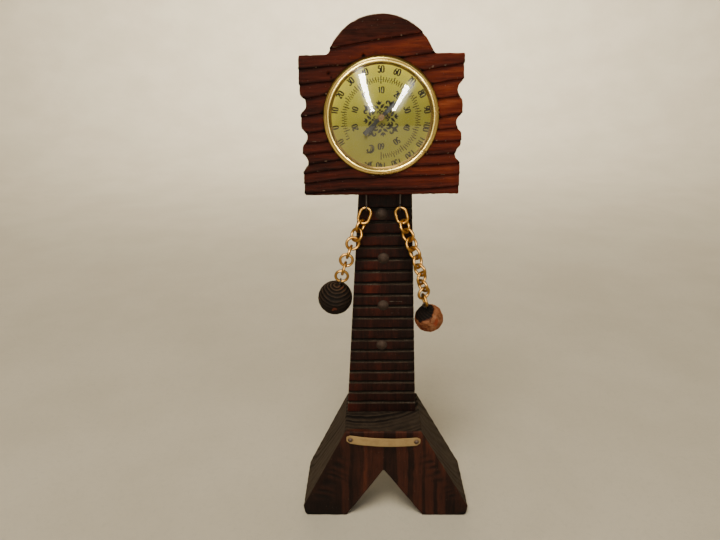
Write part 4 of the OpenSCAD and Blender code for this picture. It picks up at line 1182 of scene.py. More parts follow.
# narrow digits drawn as strokes in a box about 1 high, x from -0.25 to 0.25
def digit_strokes(ch):
    T, t = 0.225, 0.165
    oval = [(0, 0.5), (0.15, 0.44), (0.215, 0.2), (0.215, -0.2), (0.15, -0.44), (0, -0.5), (-0.15, -0.44), (-0.215, -0.2), (-0.215, 0.2), (-0.15, 0.44), (0, 0.5)]
    S = {
        "0": [("oval", oval, T)],
        "1": [("line", [(0.02, 0.5), (0.02, -0.5)], T), ("line", [(0.02, 0.48), (-0.05, 0.38), (-0.15, 0.33)], t)],
        "2": [("line", [(-0.19, 0.27), (-0.13, 0.44), (0.02, 0.5), (0.17, 0.42), (0.19, 0.22), (0.08, -0.04), (-0.1, -0.28), (-0.2, -0.46)], T), ("line", [(-0.2, -0.46), (0.0, -0.42), (0.21, -0.46)], T)],
        "3": [("line", [(-0.17, 0.46), (0.19, 0.46)], t), ("line", [(0.19, 0.46), (0.0, 0.1)], t), ("line", [(0.0, 0.1), (0.15, 0.03), (0.205, -0.17), (0.15, -0.42), (0.0, -0.5), (-0.14, -0.44), (-0.2, -0.3)], T)],
        "4": [("line", [(0.08, -0.5), (0.08, 0.5)], T), ("line", [(0.08, 0.48), (-0.22, -0.16)], t), ("line", [(-0.22, -0.18), (0.22, -0.18)], t)],
        "5": [("line", [(-0.14, 0.46), (0.19, 0.47)], T), ("line", [(-0.14, 0.46), (-0.15, 0.06)], t), ("line", [(-0.15, 0.06), (0.02, 0.15), (0.17, 0.03), (0.2, -0.18), (0.14, -0.42), (0.0, -0.5), (-0.14, -0.45), (-0.2, -0.32)], T)],
        "6": [("line", [(0.16, 0.46), (0.0, 0.36), (-0.14, 0.14), (-0.2, -0.14), (-0.16, -0.4), (0.0, -0.5), (0.15, -0.42), (0.205, -0.2), (0.15, 0.0), (0.0, 0.07), (-0.14, 0.0), (-0.19, -0.12)], T)],
        "7": [("line", [(-0.19, 0.45), (0.2, 0.46)], T), ("line", [(0.2, 0.46), (0.06, 0.12), (-0.05, -0.5)], T)],
        "8": [("oval", [(0, 0.5), (0.13, 0.44), (0.17, 0.27), (0.12, 0.1), (0, 0.03), (-0.12, 0.1), (-0.17, 0.27), (-0.13, 0.44), (0, 0.5)], T), ("oval", [(0, 0.03), (0.15, -0.06), (0.21, -0.24), (0.15, -0.43), (0, -0.5), (-0.15, -0.43), (-0.21, -0.24), (-0.15, -0.06), (0, 0.03)], T)],
        "9": [("line", [(-0.16, -0.46), (0.0, -0.36), (0.14, -0.14), (0.2, 0.14), (0.16, 0.4), (0.0, 0.5), (-0.15, 0.42), (-0.205, 0.2), (-0.15, 0.0), (0.0, -0.07), (0.14, 0.0), (0.19, 0.12)], T)],
    }
    return S[ch]


def number(text, size, squeeze=1.0):
    """Outlines of a number, centred on the origin, size high."""
    polys = []
    step_x = 0.60
    for i, ch in enumerate(text):
        ox = (i - (len(text) - 1) / 2) * step_x
        for kind, pts, w in digit_strokes(ch):
            P = (np.asarray(pts, float) + [ox, 0]) * [size * squeeze, size]
            if kind == "oval":
                C = curve_through(P[:-1].tolist() + [P[0].tolist()], 25)
                mid = C.mean(0)
                # stroke thicker on the flanks than at top and bottom
                k = np.abs((C - mid)[:, 0])
                ww = size * w * (0.62 + 0.55 * k / max(k.max(), 1e-6))
                t = np.gradient(C, axis=0)
                t[0] = t[-1] = C[1] - C[-2]
                t /= np.linalg.norm(t, axis=1)[:, None]
                nr = np.stack([-t[:, 1], t[:, 0]], 1) * ww[:, None] / 2
                A, Bq = C + nr, C - nr
                for j in range(len(C) - 1):
                    polys.append(np.array([A[j], A[j + 1], Bq[j + 1], Bq[j]]))
            else:
                n = 5 if len(P) < 4 else 22
                C = curve_through(P, n)
                k = np.sin(np.linspace(0, math.pi, n))
                ww = size * w * (0.75 + 0.3 * k)
                t = np.gradient(C, axis=0)
                t /= np.linalg.norm(t, axis=1)[:, None] + 1e-9
                nr = np.stack([-t[:, 1], t[:, 0]], 1) * ww[:, None] / 2
                polys.append(np.vstack([C + nr, (C - nr)[::-1]]))
    return polys


def dial_print():
    polys = []
    # Fahrenheit numbers outside, Celsius numbers inside
    for v in range(-10, 141, 10):
        a = (v - 50) * 2.0
        polys += [turn(p, a, 24.15) for p in number(str(abs(v)), 3.1, 0.95)]
    for v in range(-20, 61, 10):
        a = (v - 10) * 3.6
        polys += [turn(p, a, 14.2) for p in number(str(abs(v)), 2.95, 0.95)]
    # base arc with a tick every 2 degrees outside and every degree inside
    n = 150
    aa = np.radians(np.linspace(-120, 180, n + 1))
    for k in range(n):
        a0, a1 = aa[k], aa[k + 1]
        polys.append(np.array([(r * math.sin(a), r * math.cos(a)) for r, a in ((19.06, a0), (19.18, a0), (19.18, a1), (19.06, a1))]))
    for v in range(-10, 141, 2):
        a = (v - 50) * 2.0
        l = 1.95 if v % 10 == 0 else 1.25
        w = 0.25 if v % 10 == 0 else 0.21
        polys.append(turn([(-w, 19.15), (w, 19.15), (w, 19.15 + l), (-w, 19.15 + l)], a))
    for v in range(-20, 61):
        a = (v - 10) * 3.6
        l = 1.95 if v % 10 == 0 else (1.5 if v % 5 == 0 else 1.15)
        w = 0.25 if v % 10 == 0 else 0.19
        polys.append(turn([(-w, 19.09 - l), (w, 19.09 - l), (w, 19.09), (-w, 19.09)], a))
    # generic unit letters in an old broad-pen style
    C = [ribbon([(0.9, 1.25), (0.2, 1.6), (-0.8, 1.1), (-1.15, 0.0), (-0.8, -1.1), (0.1, -1.6), (1.0, -1.1)], [0.5, 0.7, 1.0, 1.15, 1.0, 0.65, 0.35]),
         ribbon([(0.9, 1.25), (1.1, 0.9), (0.75, 0.5)], [0.6, 0.75, 0.35]), ribbon([(-0.05, 1.45), (-0.2, 0.2), (0.1, -1.35)], [0.35, 0.38, 0.35]), ribbon([(0.25, 1.5), (0.6, 2.0), (1.3, 2.05)], [0.3, 0.4, 0.2])]
    Fl = [ribbon([(-0.35, 1.5), (-0.5, 0.3), (-0.35, -1.0), (-0.9, -1.7)], [0.85, 0.85, 0.75, 0.3]), ribbon([(-1.3, 1.3), (-0.5, 1.65), (0.5, 1.35), (1.35, 1.75)], [0.35, 0.75, 0.7, 0.25]),
          ribbon([(-0.9, 0.15), (0.0, 0.3), (0.9, 0.1)], [0.3, 0.65, 0.3]), ribbon([(0.2, 1.3), (0.15, 0.4), (0.25, -0.9)], [0.3, 0.4, 0.25]), ribbon([(0.9, 0.1), (1.15, -0.3), (0.8, -0.6)], [0.45, 0.5, 0.2])]
    polys += [turn(p * [1.25, 1.25], 200.0, 16.4) for p in C]
    polys += [turn(p * [1.75, 1.0], 195.6, 24.2) for p in Fl]
    # eightfold leaf rosette
    fleur = [ribbon([(0, 4.4), (0, 6.0), (0, 7.8), (0, 9.6), (0, 11.6)], [0.6, 1.05, 1.0, 1.75, 0.2], 18),
             ribbon([(-1.0, 10.1), (0, 9.4), (1.0, 10.1)], [0.25, 1.0, 0.25], 10), disc(0, 6.5, 1.0)]
    half = [ribbon([(0.2, 8.5), (1.15, 9.15), (2.15, 9.5), (2.85, 8.9), (2.65, 8.1), (2.1, 7.9)], [0.8, 1.1, 1.0, 0.85, 0.7, 0.6], 20),
            ribbon([(0.2, 7.0), (1.05, 6.7), (1.85, 6.0), (1.85, 5.1)], [0.7, 1.15, 0.95, 0.45], 16),
            ribbon([(0.1, 5.5), (0.75, 5.05), (1.0, 4.3)], [0.45, 0.75, 0.3], 8)]
    fleur += half + [p * [-1, 1] for p in half]
    palm = [ribbon([(0, 6.9), (0, 7.9), (0, 9.3)], [0.45, 1.5, 0.12], 12), disc(0, 4.3, 0.6)]
    half = [ribbon([(0.25, 7.1), (0.85, 7.9), (1.45, 8.6)], [0.5, 0.85, 0.12], 10),
            ribbon([(0.45, 5.1), (1.10, 5.8), (1.70, 6.4), (1.75, 7.0)], [0.3, 1.45, 1.3, 0.3], 14),
            ribbon([(1.6, 6.0), (2.25, 6.7), (2.8, 7.2)], [0.8, 0.6, 0.12], 10),
            ribbon([(0.2, 2.2), (0.35, 3.1), (0.95, 3.7), (1.5, 3.35), (1.6, 2.7)], [0.3, 0.55, 0.7, 0.6, 0.35], 16)]
    palm += half + [p * [-1, 1] for p in half]
    for k in range(4):
        polys += [turn(p * [0.97, 0.97], 45 + 90 * k - 7.5) for p in fleur]
        polys += [turn(p, 90 * k - 7.5) for p in palm]
    # printed a little low on the plate
    V, F = merge([prism(p - [0, 0.7], 0.893, 0.925) for p in polys])
    W = at_dial(V)
    # at_dial turns the local frame without mirroring, so the prisms keep their winding
    make_piece("dial_printing", W, F, MAT_INK, "root", smooth=False)


def pointer_blade():
    """Broad tail, eye at the arbor and a long thin tip, cut from sheet."""
    at = [(-12.3, 1.10), (-12.1, 1.20), (-9.0, 1.08), (-5.0, 0.95), (-1.8, 0.86), (-0.9, 1.15), (-0.62, 1.22), (-0.45, 1.27), (-0.2, 1.30), (0.0, 1.30), (0.2, 1.28), (0.45, 1.22), (0.62, 1.15),
          (1.6, 0.95), (4.0, 1.0), (7.2, 1.05), (8.0, 0.95), (8.8, 0.72), (10.2, 0.44), (13.0, 0.41), (18.0, 0.37), (22.6, 0.32), (23.15, 0.24), (23.3, 0.12)]
    table, V, F = {}, [], []

    def vert(x, y, z):
        k = (round(x, 5), round(y, 5), round(z, 5))
        if k not in table:
            table[k] = len(V)
            V.append(k)
        return table[k]

    z0, z1, soft, hole = 1.92, 2.19, 0.05, 0.62
    for sgn in (-1, 1):
        for (ya, wa), (yb, wb) in zip(at[:-1], at[1:]):
            ia, ib = math.sqrt(max(hole * hole - ya * ya, 0)), math.sqrt(max(hole * hole - yb * yb, 0))
            ia, ib = (0.0 if ia < 1e-3 else ia), (0.0 if ib < 1e-3 else ib)
            A = [vert(sgn * ia, ya, z1), vert(sgn * (wa - soft), ya, z1), vert(sgn * wa, ya, z1 - soft), vert(sgn * wa, ya, z0), vert(sgn * ia, ya, z0)]
            Bq = [vert(sgn * ib, yb, z1), vert(sgn * (wb - soft), yb, z1), vert(sgn * wb, yb, z1 - soft), vert(sgn * wb, yb, z0), vert(sgn * ib, yb, z0)]
            for k in range(4):
                F.append((A[k], A[k + 1], Bq[k + 1], Bq[k]) if sgn > 0 else (A[k], Bq[k], Bq[k + 1], A[k + 1]))
            if ia > 0 or ib > 0:
                q = [A[4], A[0], Bq[0], Bq[4]] if sgn > 0 else [A[4], Bq[4], Bq[0], A[0]]
                F.append(tuple(q))
        for row, flip in ((at[0], False), (at[-1], True)):
            y, w = row
            q = [vert(0.0, y, z1), vert(sgn * (w - soft), y, z1), vert(sgn * w, y, z1 - soft), vert(sgn * w, y, z0), vert(0.0, y, z0)]
            F.append(tuple(q if flip == (sgn > 0) else q[::-1]))
    P = turn(np.array(V)[:, :2], 46.4)
    V = np.c_[P, np.array(V)[:, 2]]
    dial_piece("pointer_blade_cut", V, F, MAT_POINTER, ["pointer_hand"], body="pointer", smooth=False)


bezel()
inner_ring()
pointer_blade()
crystal()
dial_plate()
dial_print()


# ---------------------------------------------------------- tacks and pins
def dome_part(d, h, seed, segs=64, rings=14, facets=0.0, shank=None):
    R = (d * d / 4 + h * h) / (2 * h)
    prof = [(0, h)]
    for k in range(1, rings + 1):
        r = d / 2 * math.sin(math.pi / 2 * k / rings)
        prof.append((r, h - R + math.sqrt(R * R - r * r)))
    prof[-1] = (d / 2 - 0.03, 0.09)
    prof.append((d / 2, 0.03))
    prof.append((d / 2 - 0.05, -0.02))
    if shank:
        prof += [(shank[0] / 2 + 0.12, -0.02), (shank[0] / 2, -0.12), (shank[0] / 2, -shank[1] + 0.5)]
    prof.append((0, -shank[1] if shank else -0.02))

    def wob(Rr, H, A):
        e = step(0.02, 0.25, H)
        k = facets * (0.5 + 0.5 * np.cos(4 * (A + 0.6))) * (Rr / (d / 2)) ** 1.4 * 0.35
        n1 = 0.05 * noise(Rr * np.cos(A) / 0.9 + seed, Rr * np.sin(A) / 0.9, seed * 3.0, 301)
        n2 = 0.022 * noise(Rr * np.cos(A) / 0.35 + seed, Rr * np.sin(A) / 0.35, seed * 3.0, 302)
        rim = 0.05 * noise(np.cos(A) * 1.6 + seed, np.sin(A) * 1.6, seed, 303) * step(d * 0.4, d * 0.5, Rr)
        return -np.abs(rim), np.minimum(e * (-k + n1 + n2 - 0.05), 0)

    return cap_lathe(prof, segs, wob)


def column_tacks():
    parts, marks = [], []
    for i, (x, z) in enumerate([(-1.9, 203.2), (-0.7, 176), (-0.9, 145.2), (-1.85, 117.8)]):
        V, F = dome_part(7, 1.5, i * 2.7 + 1, facets=0.5, shank=(1.4, 8.6))
        W = np.stack([x + V[:, 0], 1.2 - V[:, 2], z + V[:, 1]], 1)
        parts.append((W, fix_winding(W, F)))
        r = np.hypot(V[:, 0], V[:, 1])
        marks.append(0.55 * step(2.3, 3.5, r) + 0.3 * np.maximum(noise(V[:, 0] / 1.1, V[:, 1] / 1.1, i, 304), 0))
    V, F = merge(parts)
    make_piece("column_tacks_hammered", V, F, MAT_TACK, "root", dict(dark=np.concatenate(marks)), ["column_tacks"])


column_tacks()

PLATE_L, PLATE_H, PLATE_BOW = 47.0, 6.0, 2.5
PLATE_R = (PLATE_L**2 / 4 + PLATE_BOW**2) / (2 * PLATE_BOW)
PLATE_TILT = math.radians(2.2)


def plate_gap(x):
    return np.sqrt(PLATE_R**2 - x * x) - (PLATE_R - PLATE_BOW)


def at_plate(V):
    x, y, z = np.asarray(V, float).T
    return np.stack([-1.3 + x * math.cos(PLATE_TILT) + z * math.sin(PLATE_TILT), -20.5 + y, 61.6 - x * math.sin(PLATE_TILT) + z * math.cos(PLATE_TILT)], 1)


def name_plate():
    L, H = PLATE_L / 2, PLATE_H / 2
    P = [(-L, -1.5), (-L + 2.2, -H), (L - 2.2, -H), (L, -1.5), (L, 1.5), (L - 2.2, H), (-L + 2.2, H), (-L, 1.5)]
    P = smooth_loop(resample(P, 0.12), 3.0)
    P[:, 1] -= 0.05 * noise(P[:, 0] / 2.5, P[:, 1], 0, 311) * np.sign(P[:, 1])
    front = lambda x, z, d: 0.03 + 0.025 * noise(x / 3, z / 3, 0, 312) + 0.03 * np.exp(-(((d - 0.75) / 0.16) ** 2))
    flat = lambda x, z, d: np.zeros_like(x)
    none = lambda x, y, z, N: np.zeros_like(x)
    V, F, d, code = board(P, -0.5, 0.0, 0.35, 0.13, front, flat, none, back_pitch=0.9, wall_pitch=0.14)
    X = V.copy()
    X[:, 1] = V[:, 1] - plate_gap(V[:, 0])
    W = at_plate(X)
    f = code == 0
    dark = np.where(f, 0.55 * np.exp(-((d / 0.35) ** 2)) + 0.25 * np.exp(-(((d - 0.75) / 0.2) ** 2)), 0.5)
    for s in (-1, 1):
        rr = np.hypot(V[:, 0] - s * 20.9, V[:, 2])
        dark = dark + 0.75 * np.exp(-(((rr - 1.6) / 0.35) ** 2)) * f
    dark = dark + 0.20 * np.maximum(noise(V[:, 0] / 2.2, V[:, 2] / 1.2, 0, 313), 0) + 0.5 * np.exp(-(((V[:, 0] - 2.6) / 0.35) ** 2 + ((V[:, 2] - 2.5) / 0.35) ** 2))
    make_piece("name_plate_bare", W, F, MAT_PLATE, "root", dict(dark=dark), ["name_plate"])


def plate_pins():
    parts, marks = [], []
    for i, s in enumerate((-1, 1)):
        base = float(plate_gap(20.9)) + 0.5 + 0.35 - 0.06
        V, F = dome_part(3.0, 0.8, 11 + i * 3.1, segs=40, rings=9, shank=(1.0, 8.6))
        r = np.hypot(V[:, 0], V[:, 1])
        V[:, 2] -= 0.10 * np.exp(-(((r - 0.95) / 0.18) ** 2)) * (V[:, 2] > 0)
        # struck slot across the middle
        V[:, 2] -= 0.16 * np.exp(-((V[:, 0] / 0.22) ** 2)) * step(1.1, 0.5, np.abs(V[:, 1])) * (V[:, 2] > 0.3)
        L = np.stack([s * 20.9 + V[:, 0], -(base + V[:, 2]), V[:, 1]], 1)
        W = at_plate(L)
        parts.append((W, fix_winding(W, F)))
        marks.append(0.6 * np.exp(-(((r - 0.95) / 0.2) ** 2)) + 0.6 * step(1.25, 1.5, r))
    V, F = merge(parts)
    make_piece("plate_pins_domed", V, F, MAT_PIN, "root", dict(dark=np.concatenate(marks)), ["plate_pins"])


name_plate()
plate_pins()


# ------------------------------------------------------------------ chains
WIRE, RING_D, OVAL_H, OVAL_W, EYE_WIRE, EYE_R, PLAY = 1.6, 8.9, 10.8, 7.8, 0.9, 1.6, 0.15
LEAN = [[21, 24, 25, 24, 20, 17, 16, 16, 16], [16, 19, 21, 21, 20, 16, 13, 11, 9, 7, 10, 14]]
BACK = [[-3, -6, -6, -3, 1, 5, 9, 12, 15], [-5, -10, -11, -9, -5, 1, 7, 12, 14, 15, 16, 18]]
TURN = [[0, 58, -42, 14, 84, 0, 84, 0, 90], [-12, 50, -42, 40, -45, 52, -42, 50, -50, 32, -75, 8]]
BALL_D = [21.0, 18.0]
BALL_DROP = [2.5, 2.4]
EYES = [np.array([-10.4, -4.1, 208.4]), np.array([8.6, -4.1, 208.4])]


def rot(axis, deg):
    a = math.radians(deg)
    c, s = math.cos(a), math.sin(a)
    return np.array({"x": [[1, 0, 0], [0, c, -s], [0, s, c]], "y": [[c, 0, s], [0, 1, 0], [-s, 0, c]], "z": [[c, -s, 0], [s, c, 0], [0, 0, 1]]}[axis])


def chain_places(c):
    """Each link's middle and turn, then the ball's."""
    side = 1 if c == 0 else -1
    out = []
    foot = EYES[c] - [0, 0, EYE_R]
    n = len(LEAN[c])
    for i in range(n):
        l, b = math.radians(LEAN[c][i]), math.radians(BACK[c][i])
        down = np.array([-side * math.sin(l), math.sin(b) * math.cos(l), -math.cos(b) * math.cos(l)])
        M = rot("x", BACK[c][i]) @ rot("y", side * LEAN[c][i]) @ rot("z", TURN[c][i])
        if i == n - 1:
            out.append((foot + (BALL_DROP[c] + BALL_D[c] / 2) * down, M))
            break
        half = (OVAL_H - WIRE) / 2 if i == 0 else (RING_D - WIRE) / 2
        over = (EYE_WIRE + WIRE) / 2 + PLAY if i == 0 else WIRE + PLAY
        foot = foot + (2 * half - over) * down
        out.append((foot - half * down, M))
    return out


def link_mesh(oval, seed):
    """A link of knurled wire in the local x-z plane, with a butted joint."""
    n, m = 132, 20
    if oval:
        r, l = (OVAL_W - WIRE) / 2, (OVAL_H - OVAL_W) / 2
        path = arc_points(0, l, r, 0, 180, 40) + arc_points(0, -l, r, 180, 360, 40)
    else:
        r = (RING_D - WIRE) / 2
        path = arc_points(0, 0, r, 0, 360, 120)[:-1]
    s = np.r_[0, np.cumsum(np.linalg.norm(np.diff(np.vstack([path, path[:1]]), axis=0), axis=1))]
    C = resample(path, s[-1] / n)[:n]
    n = len(C)
    N = loop_normals(C)
    u = np.arange(n) / n
    a = np.arange(m) / m * 2 * math.pi
    U, A = np.meshgrid(u, a, indexing="ij")
    turns = 30 if not oval else 34
    k1 = 0.5 + 0.5 * np.sin(2 * math.pi * U * turns + 2 * A + seed)
    k2 = 0.5 + 0.5 * np.sin(2 * math.pi * U * turns - 2 * A + 1.3 * seed)
    knurl = np.minimum(k1, k2 + 0.35) ** 2
    worn = 0.5 + 0.5 * noise(U * 9 + seed * 3, np.cos(A), np.sin(A), 401)
    where = 0.31 + 0.1 * math.sin(seed * 5.1)
    gap = np.exp(-(((U - where) * n / 0.9) ** 2))
    w = WIRE / 2 + 0.045 - 0.085 * knurl * (0.35 + 0.65 * worn) - 0.10 * gap - 0.006 * (1 + noise(U * 14 + seed, np.cos(A) * 1.5, np.sin(A) * 1.5, 402))
    er = np.cos(A) * w
    ey = np.sin(A) * w
    V = np.stack([C[:, 0][:, None] + N[:, 0][:, None] * er, ey, C[:, 1][:, None] + N[:, 1][:, None] * er], -1).reshape(-1, 3)
    F = []
    for i in range(n):
        i2 = (i + 1) % n
        for j in range(m):
            j2 = (j + 1) % m
            F.append((i * m + j, i2 * m + j, i2 * m + j2, i * m + j2))
    dark = 1.0 * knurl * (0.3 + 0.7 * worn) + 0.9 * gap
    return V, F, np.clip(dark, 0, 1).ravel()


def ball_left(place, M):
    """Growth rings stand out round a heart that points up and to the front."""
    axis = np.array([0.16, -0.34, 0.93])
    axis /= np.linalg.norm(axis)
    e1 = np.cross(axis, [1, 0, 0])
    e1 /= np.linalg.norm(e1)
    e2 = np.cross(axis, e1)
    R = BALL_D[0] / 2
    nt, na = 150, 200
    th = np.linspace(0, math.pi, nt + 1)[1:-1]
    ph = np.arange(na) / na * 2 * math.pi
    T, P = np.meshgrid(th, ph, indexing="ij")
    D = np.cos(T)[..., None] * axis + np.sin(T)[..., None] * (np.cos(P)[..., None] * e1 + np.sin(P)[..., None] * e2)
    poles = [axis, -axis]
    D = np.vstack([D.reshape(-1, 3), *[p[None] for p in poles]])
    t = np.degrees(np.arccos(np.clip(D @ axis, -1, 1)))
    tw = t + 5.0 * noise(D[:, 0] * 1.6, D[:, 1] * 1.6, D[:, 2] * 1.6, 411) + 1.2 * noise(D[:, 0] * 5, D[:, 1] * 5, D[:, 2] * 5, 412)
    g = tw / 12.5
    f = g - np.floor(g)
    late = step(0.45, 0.85, f) * (1 - step(0.90, 1.0, f))
    rough = 0.06 * noise(D[:, 0] * 14, D[:, 1] * 14, D[:, 2] * 14, 413)
    chips = np.zeros(len(D))
    red = np.zeros(len(D))
    rng = np.random.default_rng(3)
    view = np.array([0.05, -0.9, 0.35])
    spots = [(-0.02, -0.94, -0.33, 0.14), (0.10, -0.92, -0.38, 0.09), (-0.12, -0.88, -0.45, 0.07), (-0.90, -0.42, 0.08, 0.12), (-0.62, -0.70, -0.40, 0.05)]
    for x, y, z, r in spots + [(*rng.normal(size=3), 0.05) for _ in range(12)]:
        q = np.array([x, y, z]) / np.linalg.norm([x, y, z])
        k = np.exp(-((np.linalg.norm(D - q, axis=1) / r) ** 2))
        chips += 0.25 * k
        if r >= 0.05:
            red += k * (1.0 if r > 0.05 else 0.6)
    rad = R - 0.05 - 0.26 * (1 - late) * (0.6 + 0.4 * (1 - f)) - np.maximum(rough, -0.04) - 0.6 * chips
    hole = np.exp(-((np.linalg.norm(D - M @ [0, 0, 1], axis=1) * R / 0.75) ** 4))
    rad = rad - 0.5 * hole
    V = place + D * rad[:, None]
    F = []
    top, bot = (nt - 1) * na, (nt - 1) * na + 1
    for i in range(nt - 2):
        for j in range(na):
            j2 = (j + 1) % na
            F.append((i * na + j, i * na + j2, (i + 1) * na + j2, (i + 1) * na + j))
    for j in range(na):
        j2 = (j + 1) % na
        F.append((top, j2, j))
        F.append((bot, (nt - 2) * na + j, (nt - 2) * na + j2))
    F = fix_winding(V - place, F)
    topw = np.exp(-((np.linalg.norm(D - M @ [0, 0, 1], axis=1) / 0.55) ** 2))
    fade = 0.30 + 0.70 * step(-0.35, 0.45, D[:, 2] + 0.15 * noise(D[:, 0] * 3, D[:, 1] * 3, D[:, 2] * 3, 415))
    tone = 0.34 + 0.28 * late * fade + 0.28 * topw + 0.08 * noise(D[:, 0] * 4, D[:, 1] * 4, D[:, 2] * 4, 414)
    char = 0.24 + 0.70 * (1 - late) * (1 - f) * fade + 0.15 * step(0.2, -0.6, D[:, 2]) - 0.2 * topw
    return V, F, dict(tone=tone, char=char, grey=0.10 * late + 0.25 * topw, wear=0.95 * np.clip(red, 0, 1))


def ico(level):
    t = (1 + 5**0.5) / 2
    V = [(-1, t, 0), (1, t, 0), (-1, -t, 0), (1, -t, 0), (0, -1, t), (0, 1, t), (0, -1, -t), (0, 1, -t), (t, 0, -1), (t, 0, 1), (-t, 0, -1), (-t, 0, 1)]
    V = [np.array(v) / np.linalg.norm(v) for v in V]
    F = [(0, 11, 5), (0, 5, 1), (0, 1, 7), (0, 7, 10), (0, 10, 11), (1, 5, 9), (5, 11, 4), (11, 10, 2), (10, 7, 6), (7, 1, 8), (3, 9, 4), (3, 4, 2), (3, 2, 6), (3, 6, 8), (3, 8, 9), (4, 9, 5), (2, 4, 11), (6, 2, 10), (8, 6, 7), (9, 8, 1)]
    for _ in range(level):
        seen, G = {}, []

        def mid(a, b):
            k = (min(a, b), max(a, b))
            if k not in seen:
                q = V[a] + V[b]
                V.append(q / np.linalg.norm(q))
                seen[k] = len(V) - 1
            return seen[k]

        for a, b, c in F:
            ab, bc, ca = mid(a, b), mid(b, c), mid(c, a)
            G += [(a, ab, ca), (b, bc, ab), (c, ca, bc), (ab, bc, ca)]
        F = G
    return np.array(V), F


def ball_right(place, M):
    """Stained skin left at the upper left, raw chipped facets elsewhere."""
    D, F = ico(6)
    R = BALL_D[1] / 2
    skin_at = np.array([-0.52, -0.46, 0.84])
    skin_at /= np.linalg.norm(skin_at)
    edge = 0.08 * noise(D[:, 0] * 3, D[:, 1] * 3, D[:, 2] * 3, 421) + 0.03 * noise(D[:, 0] * 9, D[:, 1] * 9, D[:, 2] * 9, 422)
    skin = step(0.66, 0.82, D @ skin_at + edge + 0.10 * np.exp(-((np.linalg.norm(D - M @ [0, 0, 1], axis=1) / 0.5) ** 2)))
    rng = np.random.default_rng(11)
    n = 46
    k = np.arange(n) + 0.5
    ph, zz = k * 2.39996, 1 - 2 * k / n
    Q = np.stack([np.sqrt(1 - zz**2) * np.cos(ph), np.sqrt(1 - zz**2) * np.sin(ph), zz], 1) + rng.normal(size=(n, 3)) * 0.16
    Q /= np.linalg.norm(Q, axis=1)[:, None]
    depth = R - rng.uniform(0.30, 0.72, n)
    jitter = 0.02 * noise(D[:, 0] * 7, D[:, 1] * 7, D[:, 2] * 7, 423)
    cosq = (D + jitter[:, None]) @ Q.T
    cand = np.where(cosq > 0.3, depth / np.maximum(cosq, 0.3), 99)
    which = cand.argmin(1)
    facet = np.minimum(cand.min(1), R)
    second = np.partition(cand, 1, axis=1)[:, 1]
    ridge = np.exp(-(((second - cand.min(1)) / 0.06) ** 2))
    fibres = 0.035 * noise(D[:, 0] * 22, D[:, 1] * 7, D[:, 2] * 22, 424) + 0.03 * noise(D[:, 0] * 40, D[:, 1] * 14, D[:, 2] * 40, 425)
    raw = facet - 0.06 + fibres
    ax = np.array([0.25, -0.35, 0.9])
    ax /= np.linalg.norm(ax)
    t = np.degrees(np.arccos(np.clip(D @ ax, -1, 1))) + 2.5 * noise(D[:, 0] * 2, D[:, 1] * 2, D[:, 2] * 2, 426)
    f = t / 11.5 - np.floor(t / 11.5)
    late = step(0.45, 0.85, f) * (1 - step(0.9, 1.0, f))
    smooth = R - 0.05 - 0.22 * (1 - late)
    rad = smooth * skin + np.minimum(raw, R - 0.03) * (1 - skin)
    hole = np.exp(-((np.linalg.norm(D - M @ [0, 0, 1], axis=1) * R / 0.7) ** 4))
    rad = rad - 0.5 * hole
    V = place + D * rad[:, None]
    rnd = rng.uniform(-1, 1, n)[which]
    redf = (rng.uniform(0, 1, n) > 0.72)[which]
    face = np.exp(-(((D - np.array([0.35, -0.90, -0.05])) ** 2).sum(1)) / 0.06)
    tone = (1 - skin) * (0.75 + 0.12 * rnd + 0.12 * noise(D[:, 0] * 8, D[:, 1] * 3, D[:, 2] * 8, 427) - 0.12 * step(0.0, -0.75, D[:, 0] + 0.35 * D[:, 2])) + skin * (0.10 + 0.08 * late)
    char = skin * (0.45 + 0.3 * (1 - late)) + (1 - skin) * (0.38 * ridge * (rnd < 0.4) + 0.25 * step(-0.45, -0.8, D[:, 0]))
    # a dark rim where the skin ends
    e = (D @ skin_at + edge)
    char = char + 0.5 * np.exp(-(((e - 0.70) / 0.035) ** 2)) * (1 - skin)
    wear = (1 - skin) * (0.75 * redf * (0.5 + 0.5 * noise(D[:, 0] * 6, D[:, 1] * 6, D[:, 2] * 6, 428)) + 0.9 * face)
    return V, F, dict(tone=tone, char=char, grey=np.zeros(len(D)), wear=wear)


def chains():
    for c, side in enumerate(("left", "right")):
        places = chain_places(c)
        for i, (p, M) in enumerate(places[:-1]):
            V, F, dark = link_mesh(i == 0, 1.7 * i + 0.9 * c)
            W = V @ M.T + p
            node = f"link_{side}_{i + 1}"
            lo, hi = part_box(node)
            off = max(np.abs(W.min(0) * MM - np.array(lo)).max(), np.abs(W.max(0) * MM - np.array(hi)).max())
            if off > 0.00025:
                raise ValueError(f"{node} is {off * 1000:.2f} mm off its node")
            make_piece(f"{node}_wire", W, fix_winding(W, F), MAT_CHAIN, node,
                       dict(dark=dark), [node])
        p, M = places[-1]
        V, F, attrs = (ball_left if c == 0 else ball_right)(p, M)
        make_piece(f"ball_{side}_turned", V, fix_winding(V - p, F), MAT_BALL_DARK if c == 0 else MAT_BALL_CHIP, f"weight_{side}",
                   attrs, [f"ball_{side}"])


chains()

# ------------------------------------------- CAD nodes that stay as they are
KEPT = {
    "thermometer_case": MAT_CASE, "arbor_bridge": MAT_WORKS, "pivot_bush": MAT_WORKS, "bimetal_coil": MAT_BIMETAL, "coil_anchor": MAT_WORKS,
    "arbor": MAT_ARBOR, "pointer_hub": MAT_HUB, "head_screws": MAT_SCREW, "base_screw": MAT_SCREW,
    "eye_left": MAT_EYE, "eye_right": MAT_EYE, "ball_eye_left": MAT_EYE, "ball_eye_right": MAT_EYE,
}
for n, mat in KEPT.items():
    o = NODES[n]
    if not o.material_slots:
        o.data.materials.append(mat)
    for s in o.material_slots:
        s.material = mat


